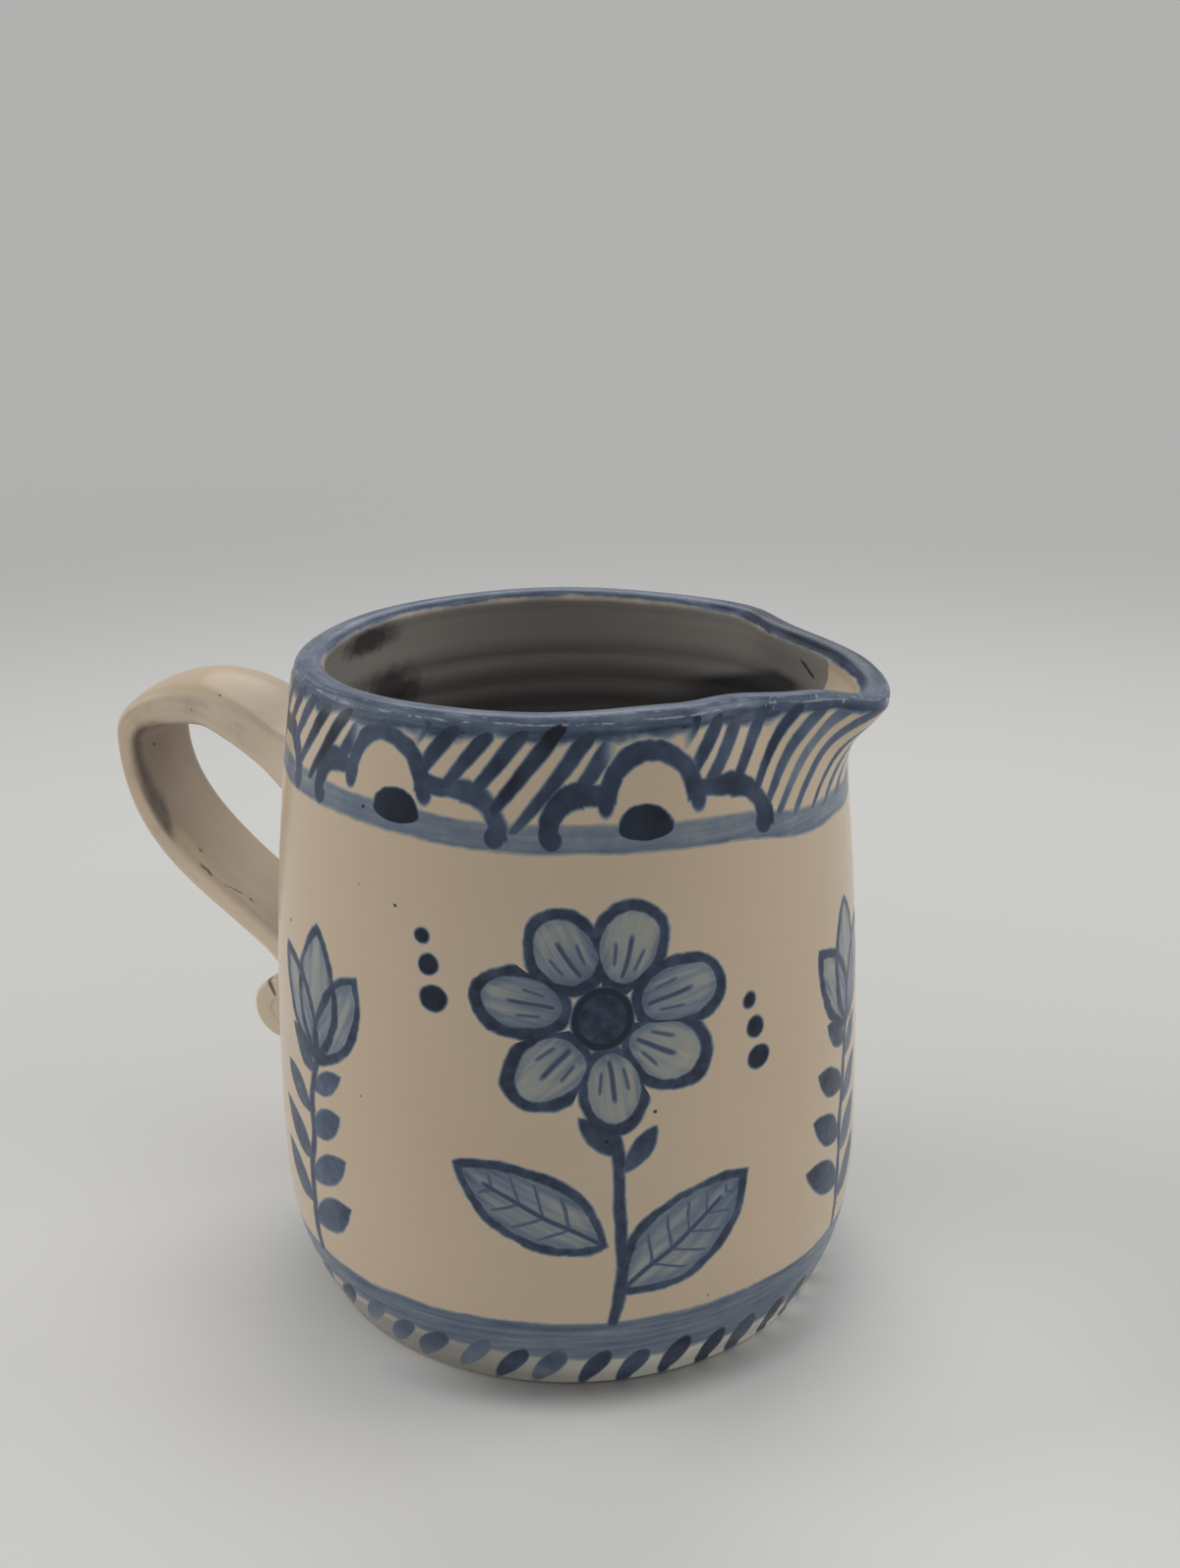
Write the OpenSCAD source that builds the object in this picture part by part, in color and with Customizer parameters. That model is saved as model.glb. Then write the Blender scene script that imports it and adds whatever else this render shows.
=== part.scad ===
// Thrown ceramic jug with a pouring lip and a pulled strap handle.
// Millimetres. The origin is the middle of the foot, +Z is up,
// the lip points along +X and the handle stands at -X.

/* [Body] */
// Height of the rim above the foot
body_h = 115; // [100:1:140]
// Outside radius at the foot
foot_r = 44.5; // [38:0.5:48]
// Outside radius of the belly at its widest
belly_r = 51.6; // [49:0.2:60]
// Height of the widest part of the belly
belly_z = 40; // [30:1:46]
// Outside radius of the rim
rim_r = 45.9; // [40:0.1:49]
// How tightly the wall turns in at the foot
foot_curve = 4.5; // [2:0.1:6]
// How late the wall draws in towards the rim
neck_curve = 2.1; // [1.5:0.1:3]
// Thickness of the wall
wall_t = 5.2; // [4:0.1:6.5]
// Thickness of the floor
floor_t = 7; // [4:0.5:10]
// Radius of the edge round the foot
foot_round = 1.5; // [0.5:0.1:3]
// Radius between the floor and the wall inside
floor_round = 9; // [4:0.5:12]
// Radius of both edges of the rim
rim_round = 1.4; // [0.6:0.1:1.9]

/* [Pouring lip] */
// How far the tip stands out past the rim
lip_reach = 10; // [6:0.2:15]
// How far the tip dips below the rim
lip_dip = 3.2; // [0:0.1:5]
// How far the lip piece reaches down from the rim
lip_depth = 27; // [18:1:34]
// Half the angle that the lip piece takes out of the rim
lip_half = 56; // [52:1:64]
// Half the angle of the broad swell of the lip
swell_half = 45; // [32:1:48]
// Half the angle of the narrow nose of the lip
nose_half = 24; // [14:1:28]
// Share of the reach that belongs to the narrow nose
nose_share = 0.45; // [0.2:0.05:0.7]
// How late the lip turns out on its way up
lip_curve = 2; // [1.4:0.1:3]
// How far the rim is pinched in beside the lip
pinch_in = 2.6; // [0:0.1:3]
// Half the angle of each pinch
pinch_half = 16; // [10:1:18]

/* [Handle] */
// Width of the strap
strap_w = 19; // [15:0.5:24]
// Thickness of the strap at its upper root
strap_t_root = 8.2; // [6:0.1:9]
// Thickness of the strap at the crown
strap_t_crown = 7.4; // [5:0.1:8]
// Thickness of the strap from its outermost point down
strap_t_low = 5.1; // [4.4:0.1:6]
// Radius of the strap's edges
strap_round = 2; // [0.8:0.1:2.1]
// Drop from the rim to the strap's upper root
upper_root_drop = 25.6; // [22:0.2:30]
// Rise of the strap where it leaves the wall, in degrees
upper_root_rise = 27.5; // [15:0.5:40]
// Drop from the rim to the crown of the handle
crown_drop = 15; // [12:0.2:20]
// How far the crown stands out past the belly
crown_room = 21.4; // [18:0.1:25]
// Drop from the rim to the outermost point of the handle
bend_drop = 27; // [25:0.5:34]
// How far the outermost point stands out past the belly
bend_room = 34.7; // [31:0.1:45]
// Drop from the rim to the strap's lower root
lower_root_drop = 63.1; // [58:0.1:68]
// Fall of the strap where it comes back to the wall, in degrees
lower_root_fall = 34; // [25:1:45]
// Pull on the curve at the upper root and before the crown
upper_pull = 8.4; // [5:0.1:12]
// Pull on the curve after the crown and before the outermost point
crown_pull = 9; // [6:0.1:11]
// Pull on the curve below the outermost point
bend_pull = 17; // [11:0.5:20]
// Pull on the curve at the lower root
lower_pull = 12.7; // [9:0.1:17]

/* [Tail] */
// Radius of the rolled tail
curl_r = 6.2; // [4:0.1:7]
// Width of the rolled tail
curl_w = 16; // [12:0.5:18]
// Radius of the tail's end edges
curl_round = 2.4; // [1:0.1:3.5]
// Drop from the strap's lower root to the middle of the roll
curl_drop = 12; // [10:0.2:15]
// How far the middle of the roll stands out from the wall
curl_stand = 5.6; // [3:0.1:6]

/* [Joints] */
// Thickness of the slip between the lip and the body
slip_t = 0.6; // [0.4:0.1:1]
// How far each joint coil spreads round the strap at the wall
coil_spread = 2; // [1:0.1:3]
// Thickness of a joint coil where it runs out
coil_edge = 0.4; // [0.3:0.1:0.8]
// Length of a joint coil along the strap
coil_len = 8; // [6:0.5:12]

/* [Hidden] */
$fn = 96;

cream = [0.80, 0.73, 0.64];
pale_cream = [0.84, 0.77, 0.68];
brush_blue = [0.36, 0.42, 0.53];
slip_grey = [0.62, 0.60, 0.57];

// Counts of steps along the curves
wall_steps = 14;
lip_rows = 9;
edge_steps = 5;
lip_columns = 36;
strap_steps = 30;
corner_steps = 4;

// A small step for slopes, and how far a cut runs past what it cuts
nudge = 0.001;
over = 1;

// Outside and inside radius of the wall at a height
function outer_r(z) =
    z < belly_z
    ? belly_r - (belly_r - foot_r) * pow(1 - z / belly_z, foot_curve)
    : belly_r - (belly_r - rim_r) * pow((z - belly_z) / (body_h - belly_z), neck_curve);
function inner_r(z) = outer_r(z) - wall_t;

// Points on an arc from one angle to another, both ends included
function arc(middle, r, from, to) =
    [for (i = [0:edge_steps]) let(a = from + (to - from) * i / edge_steps)
        middle + r * [cos(a), sin(a)]];

// Heights at even steps, both ends included
function steps(from, to, count) = [for (i = [0:count]) from + (to - from) * i / count];
function backwards(list) = [for (i = [len(list) - 1:-1:0]) list[i]];

// Heights where the notch for the lip and the lip itself begin
notch_z = body_h - lip_depth;
lip_z = notch_z + slip_t;
rim_edge_z = body_h - rim_round;
floor_edge_z = floor_t + floor_round;

// Half section of the wall from the lip's foot up over the rim and down inside
lip_zs = steps(lip_z, rim_edge_z, lip_rows);
upper_section = concat(
    [for (z = lip_zs) [outer_r(z), z]],
    arc([outer_r(rim_edge_z) - rim_round, rim_edge_z], rim_round, 0, 90),
    arc([inner_r(rim_edge_z) + rim_round, rim_edge_z], rim_round, 90, 180),
    [for (z = backwards(lip_zs)) [inner_r(z), z]]);

// Half section of the whole pot below that
foot_edge = arc([outer_r(foot_round) - foot_round, foot_round], foot_round, -90, 0);
lower_outside = [for (z = steps(foot_round, notch_z, wall_steps)) [outer_r(z), z]];
lower_inside = [for (z = steps(notch_z, floor_edge_z, wall_steps)) [inner_r(z), z]];
floor_edge = arc([inner_r(floor_edge_z) - floor_round, floor_edge_z], floor_round, 0, -90);
pot_section = concat([[0, 0]], foot_edge, lower_outside, upper_section, lower_inside,
                     floor_edge, [[0, floor_t]]);

// Half section of the outside alone, filled to the axis
outside_section = concat([[0, 0]], foot_edge, lower_outside,
                         [for (z = lip_zs) [outer_r(z), z]],
                         [[outer_r(rim_edge_z), body_h], [0, body_h]]);

// Angle of the slip on each side of the lip
slip_angle = slip_t / rim_r * 180 / PI;
lip_end = lip_half - slip_angle;
pinch_at = lip_end - pinch_half;

// Raised cosine that is 1 in the middle and 0 from half outwards
function bump(a, half) = abs(a) < half ? (1 + cos(180 * a / half)) / 2 : 0;

// Share of the lip's reach at an angle, and of its pinch
function lip_share(a) =
    (1 - nose_share) * bump(a, swell_half) + nose_share * bump(a, nose_half);
function pinch_share(a) = bump(abs(a) - pinch_at, pinch_half);

// Share of the reach at a share of the lip's height: upright at its foot and at its edge
function lip_turn(rise) = (1 - cos(180 * pow(rise, lip_curve))) / 2;

// A point of the wall's section, moved out, in and down as the lip is there
function lip_point(p, a) =
    let(turn = lip_turn((p[1] - lip_z) / (body_h - lip_z)))
    let(r = p[0] + turn * (lip_reach * lip_share(a) - pinch_in * pinch_share(a)))
    [r * cos(a), r * sin(a), p[1] - turn * lip_dip * lip_share(a)];

// Faces of a closed tube of rings, with both ends capped by strips across
function tube_faces(rings, sides) =
    let(last = (rings - 1) * sides)
    concat(
        [for (i = [0:rings - 2], j = [0:sides - 1]) let(a = i * sides, b = a + sides, k = (j + 1) % sides)
            each [[a + j, b + j, b + k], [a + j, b + k, a + k]]],
        [for (j = [0:sides / 2 - 2]) [j, j + 1, sides - 2 - j, sides - 1 - j]],
        [for (j = [0:sides / 2 - 2])
            [last + j, last + sides - 1 - j, last + sides - 2 - j, last + j + 1]]);

// Middle line of the handle, as distance from the axis and height
function along(angle, pull) = pull * [cos(angle), sin(angle)];
upper_root_z = body_h - upper_root_drop;
lower_root_z = body_h - lower_root_drop;
upper_root = [outer_r(upper_root_z), upper_root_z];
lower_root = [outer_r(lower_root_z), lower_root_z];
crown = [belly_r + crown_room, body_h - crown_drop];
bend = [belly_r + bend_room, body_h - bend_drop];
handle_curves = [
    [upper_root, upper_root + along(upper_root_rise, upper_pull),
     crown - along(0, upper_pull), crown],
    [crown, crown + along(0, crown_pull), bend - along(-90, crown_pull), bend],
    [bend, bend + along(-90, bend_pull),
     lower_root + along(lower_root_fall, lower_pull), lower_root]];
handle_end = len(handle_curves);

function bezier(p, t) =
    p[0] * pow(1 - t, 3) + 3 * p[1] * t * pow(1 - t, 2) + 3 * p[2] * t * t * (1 - t) + p[3] * pow(t, 3);

// Point of the middle line: each curve takes 1 of u, and past the ends it runs on into the wall
function handle_point(u) =
    u < 0 ? upper_root + along(upper_root_rise, wall_t * u)
    : u > handle_end ? lower_root - along(lower_root_fall, wall_t * (u - handle_end))
    : let(i = min(floor(u), handle_end - 1)) bezier(handle_curves[i], u - i);

function handle_normal(u) =
    let(d = handle_point(u + nudge) - handle_point(u - nudge))
    [-d[1], d[0]] / norm(d);

function strap_t(u) = lookup(u, [[0, strap_t_root], [1, strap_t_crown], [2, strap_t_low]]);

// Outline of the strap across its length, grown evenly
function strap_outline(u, grow) =
    let(x = strap_w / 2 + grow, y = strap_t(u) / 2 + grow, r = strap_round + grow)
    [for (c = [[1, 1], [-1, 1], [-1, -1], [1, -1]], i = [0:corner_steps])
        let(a = i * 90 / corner_steps)
        let(turn = c[0] * c[1] > 0 ? a : 90 - a)
        [c[0] * (x - r + r * cos(turn)), c[1] * (y - r + r * sin(turn))]];

function strap_ring(u, grow) =
    let(p = handle_point(u), n = handle_normal(u))
    [for (q = strap_outline(u, grow)) [-p[0] - q[1] * n[0], -q[0], p[1] + q[1] * n[1]]];

// How far into the wall the strap is let, as a share of the wall
let_in = 0.5;

// Stops along the handle for each joint coil, from the wall outwards
upper_coil_end = coil_len / norm(crown - upper_root);
lower_coil_end = handle_end - coil_len / norm(bend - lower_root);
upper_coil_stops = concat([-let_in], steps(0, upper_coil_end, edge_steps));
lower_coil_stops = concat([handle_end + let_in], steps(handle_end, lower_coil_end, edge_steps));
middle_stops = steps(upper_coil_end, lower_coil_end, strap_steps);
strap_stops = concat(upper_coil_stops, [for (i = [1:strap_steps - 1]) middle_stops[i]],
                     backwards(lower_coil_stops));

// How far a coil stands round the strap at each of its stops
function coil_grow(i) =
    coil_edge + (coil_spread - coil_edge) * pow(1 - max(i - 1, 0) / edge_steps, 2);
function coil_rings(stops) = [for (i = [0:len(stops) - 1]) strap_ring(stops[i], coil_grow(i))];
function strap_rings(stops) = [for (u = stops) strap_ring(u, 0)];
function upper_first(rings, upper) = upper ? rings : backwards(rings);

// Solid swept through rings that are listed from the upper root down
module sweep(rings) {
    polyhedron([for (ring = rings) each ring], tube_faces(len(rings), len(rings[0])));
}

module strap_sweep() {
    sweep(strap_rings(strap_stops));
}

// Sleeve between a coil's outside and the strap: out along the coil and back along the strap
module coil_sleeve(stops, upper) {
    outside = upper_first(coil_rings(stops), upper);
    inside = upper_first(strap_rings(stops), upper);
    rings = concat(outside, backwards(inside));
    count = len(rings);
    sides = len(rings[0]);
    polyhedron(
        [for (ring = rings) each ring],
        [for (i = [0:count - 1], j = [0:sides - 1])
            let(a = i * sides, b = (i + 1) % count * sides, k = (j + 1) % sides)
            each [[a + j, b + j, b + k], [a + j, b + k, a + k]]]);
}

// Outside of the pot, filled, for cutting what meets the wall
module outside_form() {
    rotate_extrude() polygon(outside_section);
}

// Wedge of the rim from a height upwards, to an angle on each side of the lip
module wedge(half, z) {
    far = belly_r + lip_reach + over;
    translate([0, 0, z])
        linear_extrude(body_h - z + over)
            polygon([[0, 0], far * [cos(half), -sin(half)], [2 * far, 0],
                     far * [cos(half), sin(half)]]);
}

module thrown_body() {
    color(cream)
        difference() {
            rotate_extrude() polygon(pot_section);
            wedge(lip_half, notch_z);
        }
}

module pouring_lip() {
    angles = steps(lip_end, -lip_end, lip_columns);
    points = [for (a = angles, p = upper_section) lip_point(p, a)];
    color(brush_blue)
        polyhedron(points, tube_faces(len(angles), len(upper_section)));
}

// The slip lies under the lip and up both its sides
module lip_slip_seam() {
    notch_foot = [[outer_r(notch_z), notch_z], [inner_r(notch_z), notch_z]];
    color(slip_grey)
        difference() {
            rotate([0, 0, -lip_half])
                rotate_extrude(angle = 2 * lip_half)
                    polygon(concat([notch_foot[0]], upper_section, [notch_foot[1]]));
            wedge(lip_end, lip_z);
        }
}

module handle_strap() {
    color(pale_cream)
        difference() {
            strap_sweep();
            outside_form();
        }
}

// Roll with rounded ends, and the neck of clay that runs up from it under the strap
curl_z = lower_root_z - curl_drop;
curl_middle = [outer_r(curl_z) + curl_stand, curl_z];

module handle_curl() {
    half = curl_w / 2;
    roll_edge = arc([curl_r - curl_round, half - curl_round], curl_round, 0, 90);
    roll_section = concat([[0, -half]], backwards([for (p = roll_edge) [p[0], -p[1]]]),
                          roll_edge, [[0, half]]);
    neck_half = half - curl_round;
    color(pale_cream)
        difference() {
            union() {
                translate([-curl_middle[0], 0, curl_middle[1]])
                    rotate([90, 0, 0]) rotate_extrude() polygon(roll_section);
                translate([-curl_middle[0], -neck_half, curl_middle[1]])
                    cube([curl_middle[0] - inner_r(curl_z), 2 * neck_half, curl_drop]);
            }
            outside_form();
            strap_sweep();
            sweep(backwards(coil_rings(lower_coil_stops)));
        }
}

module upper_joint_coil() {
    color(slip_grey)
        difference() {
            coil_sleeve(upper_coil_stops, true);
            outside_form();
        }
}

module lower_joint_coil() {
    color(slip_grey)
        difference() {
            coil_sleeve(lower_coil_stops, false);
            outside_form();
        }
}

thrown_body();
pouring_lip();
lip_slip_seam();
handle_strap();
handle_curl();
upper_joint_coil();
lower_joint_coil();
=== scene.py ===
import functools
import math

import bpy
import numpy as np
from mathutils import Matrix, Vector


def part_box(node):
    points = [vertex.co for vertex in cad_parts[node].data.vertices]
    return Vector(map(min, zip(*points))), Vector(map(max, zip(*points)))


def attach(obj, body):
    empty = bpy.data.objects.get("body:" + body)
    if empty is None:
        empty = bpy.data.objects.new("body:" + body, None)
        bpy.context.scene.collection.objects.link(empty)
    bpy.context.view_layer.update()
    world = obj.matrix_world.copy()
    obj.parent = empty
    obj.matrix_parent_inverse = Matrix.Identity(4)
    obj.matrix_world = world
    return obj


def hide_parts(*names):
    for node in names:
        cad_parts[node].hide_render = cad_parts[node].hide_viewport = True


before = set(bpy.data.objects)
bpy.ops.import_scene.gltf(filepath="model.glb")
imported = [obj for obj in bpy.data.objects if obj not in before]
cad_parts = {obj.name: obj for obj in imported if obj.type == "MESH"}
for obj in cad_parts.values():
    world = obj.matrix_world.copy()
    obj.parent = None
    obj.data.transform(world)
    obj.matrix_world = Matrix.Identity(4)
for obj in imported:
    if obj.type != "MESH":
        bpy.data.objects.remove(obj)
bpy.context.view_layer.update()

bl_info = {
    "name": "Hand-painted jug",
    "version": (1, 0, 0),
    "blender": (4, 5, 0),
    "location": "View3D > Sidebar > Jug",
    "description": "Models a thrown, brush-painted and glazed ceramic jug over its packed solids",
    "category": "Object",
}

BODY_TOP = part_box("thrown_body")[1]
LIP_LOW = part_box("pouring_lip")[0]
STRAP_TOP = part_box("handle_strap")[1]
CURL_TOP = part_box("handle_curl")[1]
MM = 0.001
TURN = 2 * math.pi


# Settings


def length(name, description, default):
    return bpy.props.FloatProperty(name=name, description=description, default=default,
                                   subtype="DISTANCE", unit="LENGTH", precision=4)


def angle(name, description, degrees):
    return bpy.props.FloatProperty(name=name, description=description, default=math.radians(degrees),
                                   subtype="ANGLE", unit="ROTATION")


def number(name, description, default):
    return bpy.props.FloatProperty(name=name, description=description, default=default, precision=3)


def count(name, description, default):
    return bpy.props.IntProperty(name=name, description=description, default=default, min=1)


def colour(name, description, default):
    return bpy.props.FloatVectorProperty(name=name, description=description, default=default,
                                         subtype="COLOR", size=3, min=0, max=1)


class BodySettings(bpy.types.PropertyGroup):
    """Sizes of the thrown pot"""
    height: length("Height", "Rim above the table", BODY_TOP.z)
    belly_radius: length("Belly radius", "Outside radius where the pot is widest", BODY_TOP.y + 0.0003)
    belly_height: length("Belly height", "Height of the widest place", 0.031)
    foot_radius: length("Foot radius", "Outside radius at the table", 0.0445)
    rim_radius: length("Rim radius", "Outside radius at the rim", 0.0457)
    foot_curve: number("Foot curve", "How late the wall turns in to the foot", 3.0)
    neck_curve: number("Neck curve", "How late the wall turns in to the rim", 2.06)
    wall: length("Wall", "Thickness of the wall", 0.0052)
    floor: length("Floor", "Thickness of the floor", 0.007)
    foot_round: length("Foot rounding", "Radius of the edge of the foot", 0.0015)
    rim_round: length("Rim rounding", "Radius of the edges of the rim", 0.0020)
    floor_round: length("Floor rounding", "Radius between the floor and the wall inside", 0.009)
    ring_pitch: length("Ring pitch", "Height between two throwing rings inside", 0.0056)
    ring_depth: length("Ring depth", "Depth of the throwing rings inside", 0.00045)
    ring_wander: length("Ring wander", "Height over which the rings inside crowd and spread", 0.031)
    ring_start: length("Ring start", "Plain wall between the rim and the rings inside", 0.007)
    skin_pitch: length("Skin pitch", "Height between two of the faint rings outside", 0.0057)
    skin_depth: length("Skin depth", "Depth of the faint rings outside", 0.00006)
    skin_wander: length("Skin wander", "Height over which the rings outside crowd and spread", 0.023)
    lean: length("Lean", "How far the middle of the pot leans away from the lip", 0.00055)
    lean_bearing: angle("Lean bearing", "Direction that the middle leans from", 24.5)
    rim_rise: length("Rim rise", "How much higher the rim stands on one side", 0.0005)
    rim_rise_bearing: angle("Rim rise bearing", "Direction of that side", 127)
    rim_rise_half: angle("Rim rise width", "Half the angle of that side", 90)


class LipSettings(bpy.types.PropertyGroup):
    """Sizes of the pouring lip"""
    start: length("Start", "Height where the wall starts to turn out", LIP_LOW.z)
    turn: angle("Turn", "How far the lip points to the left of straight ahead", 5.1)
    reach: length("Reach", "How far the lip stands out past the rim", 0.0098)
    dip: length("Dip", "How far the edge of the lip falls", 0.0044)
    nose_share: number("Nose share", "Share of the reach that the nose makes", 0.507)
    curve: number("Curve", "How late the lip turns out", 1.74)
    left_swell: angle("Left swell", "Half the angle of the wide swell on the left", 53.3)
    left_nose: angle("Left nose", "Half the angle of the nose on the left", 42)
    left_pinch: length("Left pinch", "How far a thumb pressed the rim in on the left", 0.0024)
    left_pinch_at: angle("Left pinch bearing", "Angle of the left pinch from the lip", 38.5)
    left_pinch_half: angle("Left pinch width", "Half the angle of the left pinch", 22.4)
    right_swell: angle("Right swell", "Half the angle of the wide swell on the right", 60)
    right_nose: angle("Right nose", "Half the angle of the nose on the right", 14.3)
    right_pinch: length("Right pinch", "How far a thumb pressed the rim in on the right", 0.0043)
    right_pinch_at: angle("Right pinch bearing", "Angle of the right pinch from the lip", 28.9)
    right_pinch_half: angle("Right pinch width", "Half the angle of the right pinch", 20.8)
    shoulder: length("Shoulder", "How much higher the rim stands beside the lip on the right", 0.00065)
    shoulder_at: angle("Shoulder bearing", "Direction of that shoulder", -40)
    shoulder_half: angle("Shoulder width", "Half the angle of that shoulder", 45)


class HandleSettings(bpy.types.PropertyGroup):
    """Sizes of the strap handle and its rolled tail"""
    width: length("Width", "Width of the strap with its glaze", 2 * STRAP_TOP.y + 0.0004)
    root_thickness: length("Root thickness", "Thickness at the upper root", 0.0078)
    crown_thickness: length("Crown thickness", "Thickness at the crown", 0.0093)
    low_thickness: length("Low thickness", "Thickness from the bend down", 0.0049)
    root_rounding: length("Root rounding", "Radius of the strap's edges at the upper root", 0.0012)
    crown_rounding: length("Crown rounding", "The same at the crown", 0.0028)
    low_rounding: length("Low rounding", "The same from the bend down", 0.0016)
    root_dome: length("Root dome", "How far the outer face falls to its edges near the root", 0.0004)
    crown_dome: length("Crown dome", "The same at the crown", 0.0024)
    low_dome: length("Low dome", "The same on the lower arm", 0.0003)
    upper_root_height: length("Upper root", "Height of the upper root", 0.0899)
    upper_root_rise: angle("Upper rise", "Slope of the strap at the upper root", 20.3)
    crown_radius: length("Crown radius", "Distance of the crown from the axis", 0.0715)
    crown_height: length("Crown height", "Height of the middle of the crown", 0.0997)
    bend_radius: length("Bend radius", "Distance of the bend from the axis", 0.0876)
    bend_height: length("Bend height", "Height of the bend", 0.0904)
    lower_root_height: length("Lower root", "Height of the lower root", 0.0495)
    lower_root_fall: angle("Lower fall", "Slope of the strap at the lower root", 48.5)
    upper_pull: length("Upper pull", "How softly the strap leaves the upper root", 0.0072)
    crown_pull: length("Crown pull", "How round the crown is", 0.0070)
    bend_pull: length("Bend pull", "How round the bend is", 0.0223)
    lower_pull: length("Lower pull", "How softly the strap meets the lower root", 0.0140)
    let_in: length("Let in", "How far the strap goes into the wall", 0.0024)
    fillet: length("Fillet", "How far the worked clay spreads at the roots", 0.0022)
    fillet_length: length("Fillet length", "How far along the strap that clay runs", 0.008)
    tail_width: length("Tail width", "Width of the rolled tail", 2 * CURL_TOP.y)
    tail_thickness: length("Tail thickness", "Thickness of the tail", 0.0042)
    roll_radius: length("Roll radius", "Outside radius of the roll", 0.0062)
    roll_eye: length("Roll eye", "Radius of the last turn inside the roll", 0.0010)
    roll_turn: angle("Roll turn", "How far round the tail is rolled", 720)
    roll_tighten: angle("Roll tighten", "How far round the roll starts to tighten", 260)
    roll_tight: angle("Roll tight", "How much further round it is tightest", 170)
    tail_rounding: length("Tail rounding", "Radius of the tail's edges", 0.0008)
    roll_height: length("Roll height", "Height of the middle of the roll", 0.0403)
    roll_distance: length("Roll distance", "Distance of the middle of the roll from the axis", 0.0572)


class PaintSettings(bpy.types.PropertyGroup):
    """Colours and sizes of the glaze and the brushwork"""
    cream: colour("Cream", "Clay under the clear glaze", (0.65, 0.53, 0.40))
    # Painted light and shade under the band at the foot: lighter and greyer on one side, darker on the other
    foot_pale: colour("Foot pale", "Ash-grey glaze under the band at the foot", (0.70, 0.68, 0.61))
    foot_shade: colour("Foot dull", "The same on the duller side", (0.27, 0.262, 0.242))
    foot_shade_bearing: angle("Dull bearing", "Direction of the duller side of the foot", -131.78)
    bare_clay: colour("Bare clay", "Unglazed clay under the foot", (0.66, 0.55, 0.43))
    # Inside colours: greyer than the cream outside near the rim, with painted shade beside the lip, low down
    # and in the grooves
    inside: colour("Inside", "Glaze inside near the rim", (0.335, 0.312, 0.285))
    throat: colour("Throat", "Glaze inside beside the lip", (0.235, 0.22, 0.205))
    inside_shade: colour("Inside deep", "Glaze inside low down and in the grooves", (0.10, 0.095, 0.095))
    pale_blue: colour("Pale blue", "Thinnest wash", (0.33, 0.345, 0.325))
    wash_blue: colour("Wash blue", "Wash of the stripes", (0.175, 0.215, 0.275))
    brush_blue: colour("Brush blue", "A loaded brush", (0.092, 0.125, 0.192))
    deep_blue: colour("Deep blue", "Two coats", (0.046, 0.064, 0.106))
    navy: colour("Navy", "Pools and dots", (0.015, 0.019, 0.030))
    # Pale rim lines: partly worn glaze, partly painted highlight
    worn_and_glint: colour("Worn", "Where the glaze is rubbed on the rim", (0.52, 0.54, 0.56))
    speck: colour("Speck", "Iron specks in the clay", (0.03, 0.022, 0.018))
    # Dark smears and blotches; also the painted shade inside the handle's bend
    smear: colour("Smear", "Fired stains", (0.11, 0.092, 0.10))
    radius: length("Radius", "Radius at which distances round the pot are told", 0.050)
    height: length("Height", "Height of the rim that the border hangs from", BODY_TOP.z)
    stripe_low: length("Stripe low", "Lower edge of the stripe", 0.0957)
    stripe_high: length("Stripe high", "Upper edge of the stripe", 0.1001)
    lip_drop: length("Lip drop", "How much lower the border runs under the lip", 0.0026)
    border_tilt: length("Border tilt", "How far the border's stripe tilts down towards the lip", 0.0021)
    band_low: length("Band low", "Lower edge of the band at the foot", 0.0089)
    band_high: length("Band high", "Upper edge of the band at the foot", 0.0160)
    rim_band: length("Rim band", "How far the rim's blue runs down outside", 0.0054)
    scallops: count("Scallops", "Places for scallops round the rim", 7)
    border_turn: angle("Border turn", "How far the scallops are turned from the lip", 1.6)
    strokes: count("Hatch strokes", "Slanted strokes round the rim", 56)
    hatch_lean: number("Hatch lean", "Distance round the pot for each distance up a stroke", 0.85)
    dabs: count("Dabs", "Slanted dabs round the foot", 43)
    dab_lean: number("Dab lean", "Distance round the pot for each distance up a dab", 0.80)
    sprigs: count("Sprigs", "Tall flowers round the pot", 3)
    petals: count("Petals", "Petals of a tall flower", 7)
    flower_height: length("Flower height", "Height of the middle of a tall flower", 0.0690)
    bud_height: length("Bud height", "Height where a sprig's bud starts", 0.0560)
    strap_half: length("Half strap", "Half the width of the handle's strap", STRAP_TOP.y)


class StageSettings(bpy.types.PropertyGroup):
    """Studio, lamps and camera"""
    # Painted light and shadow on the paper: the near paper lightens the jug's shade, the contact paper is a
    # painted contact shadow
    near: colour("Near", "Paper in front of the jug, in its shade", (0.90, 0.90, 0.885))
    painted_contact_shadow: colour("Contact", "Paper right under the front of the foot", (0.36, 0.36, 0.352))
    floor: colour("Floor", "Paper round the jug", (0.645, 0.645, 0.63))
    backdrop: colour("Backdrop", "Paper far behind the jug", (0.44, 0.437, 0.43))
    surround: colour("Surround", "Soft light from all round", (0.43, 0.43, 0.43))
    shade_bearing: angle("Shade bearing", "Direction in which the foot's own shade lies", -55.5)
    camera: bpy.props.FloatVectorProperty(name="Camera", description="Place of the camera", size=3,
                                          default=(0.12138, -0.26636, 0.18654), subtype="TRANSLATION",
                                          unit="LENGTH")
    heading: angle("Heading", "Direction of view from +Y towards -X", 24.5 - 0.782)
    pitch: angle("Pitch", "How far the camera looks down", 18.26)
    roll: angle("Roll", "How far the camera leans", -0.779)
    focal: number("Focal length", "Focal length in pixels of the photograph", 1800)
    photo_height: number("Picture height", "Height of the photograph in pixels", 1594)
    sensor: number("Sensor", "Long side of the sensor in millimetres", 36)


# Shader values


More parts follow.
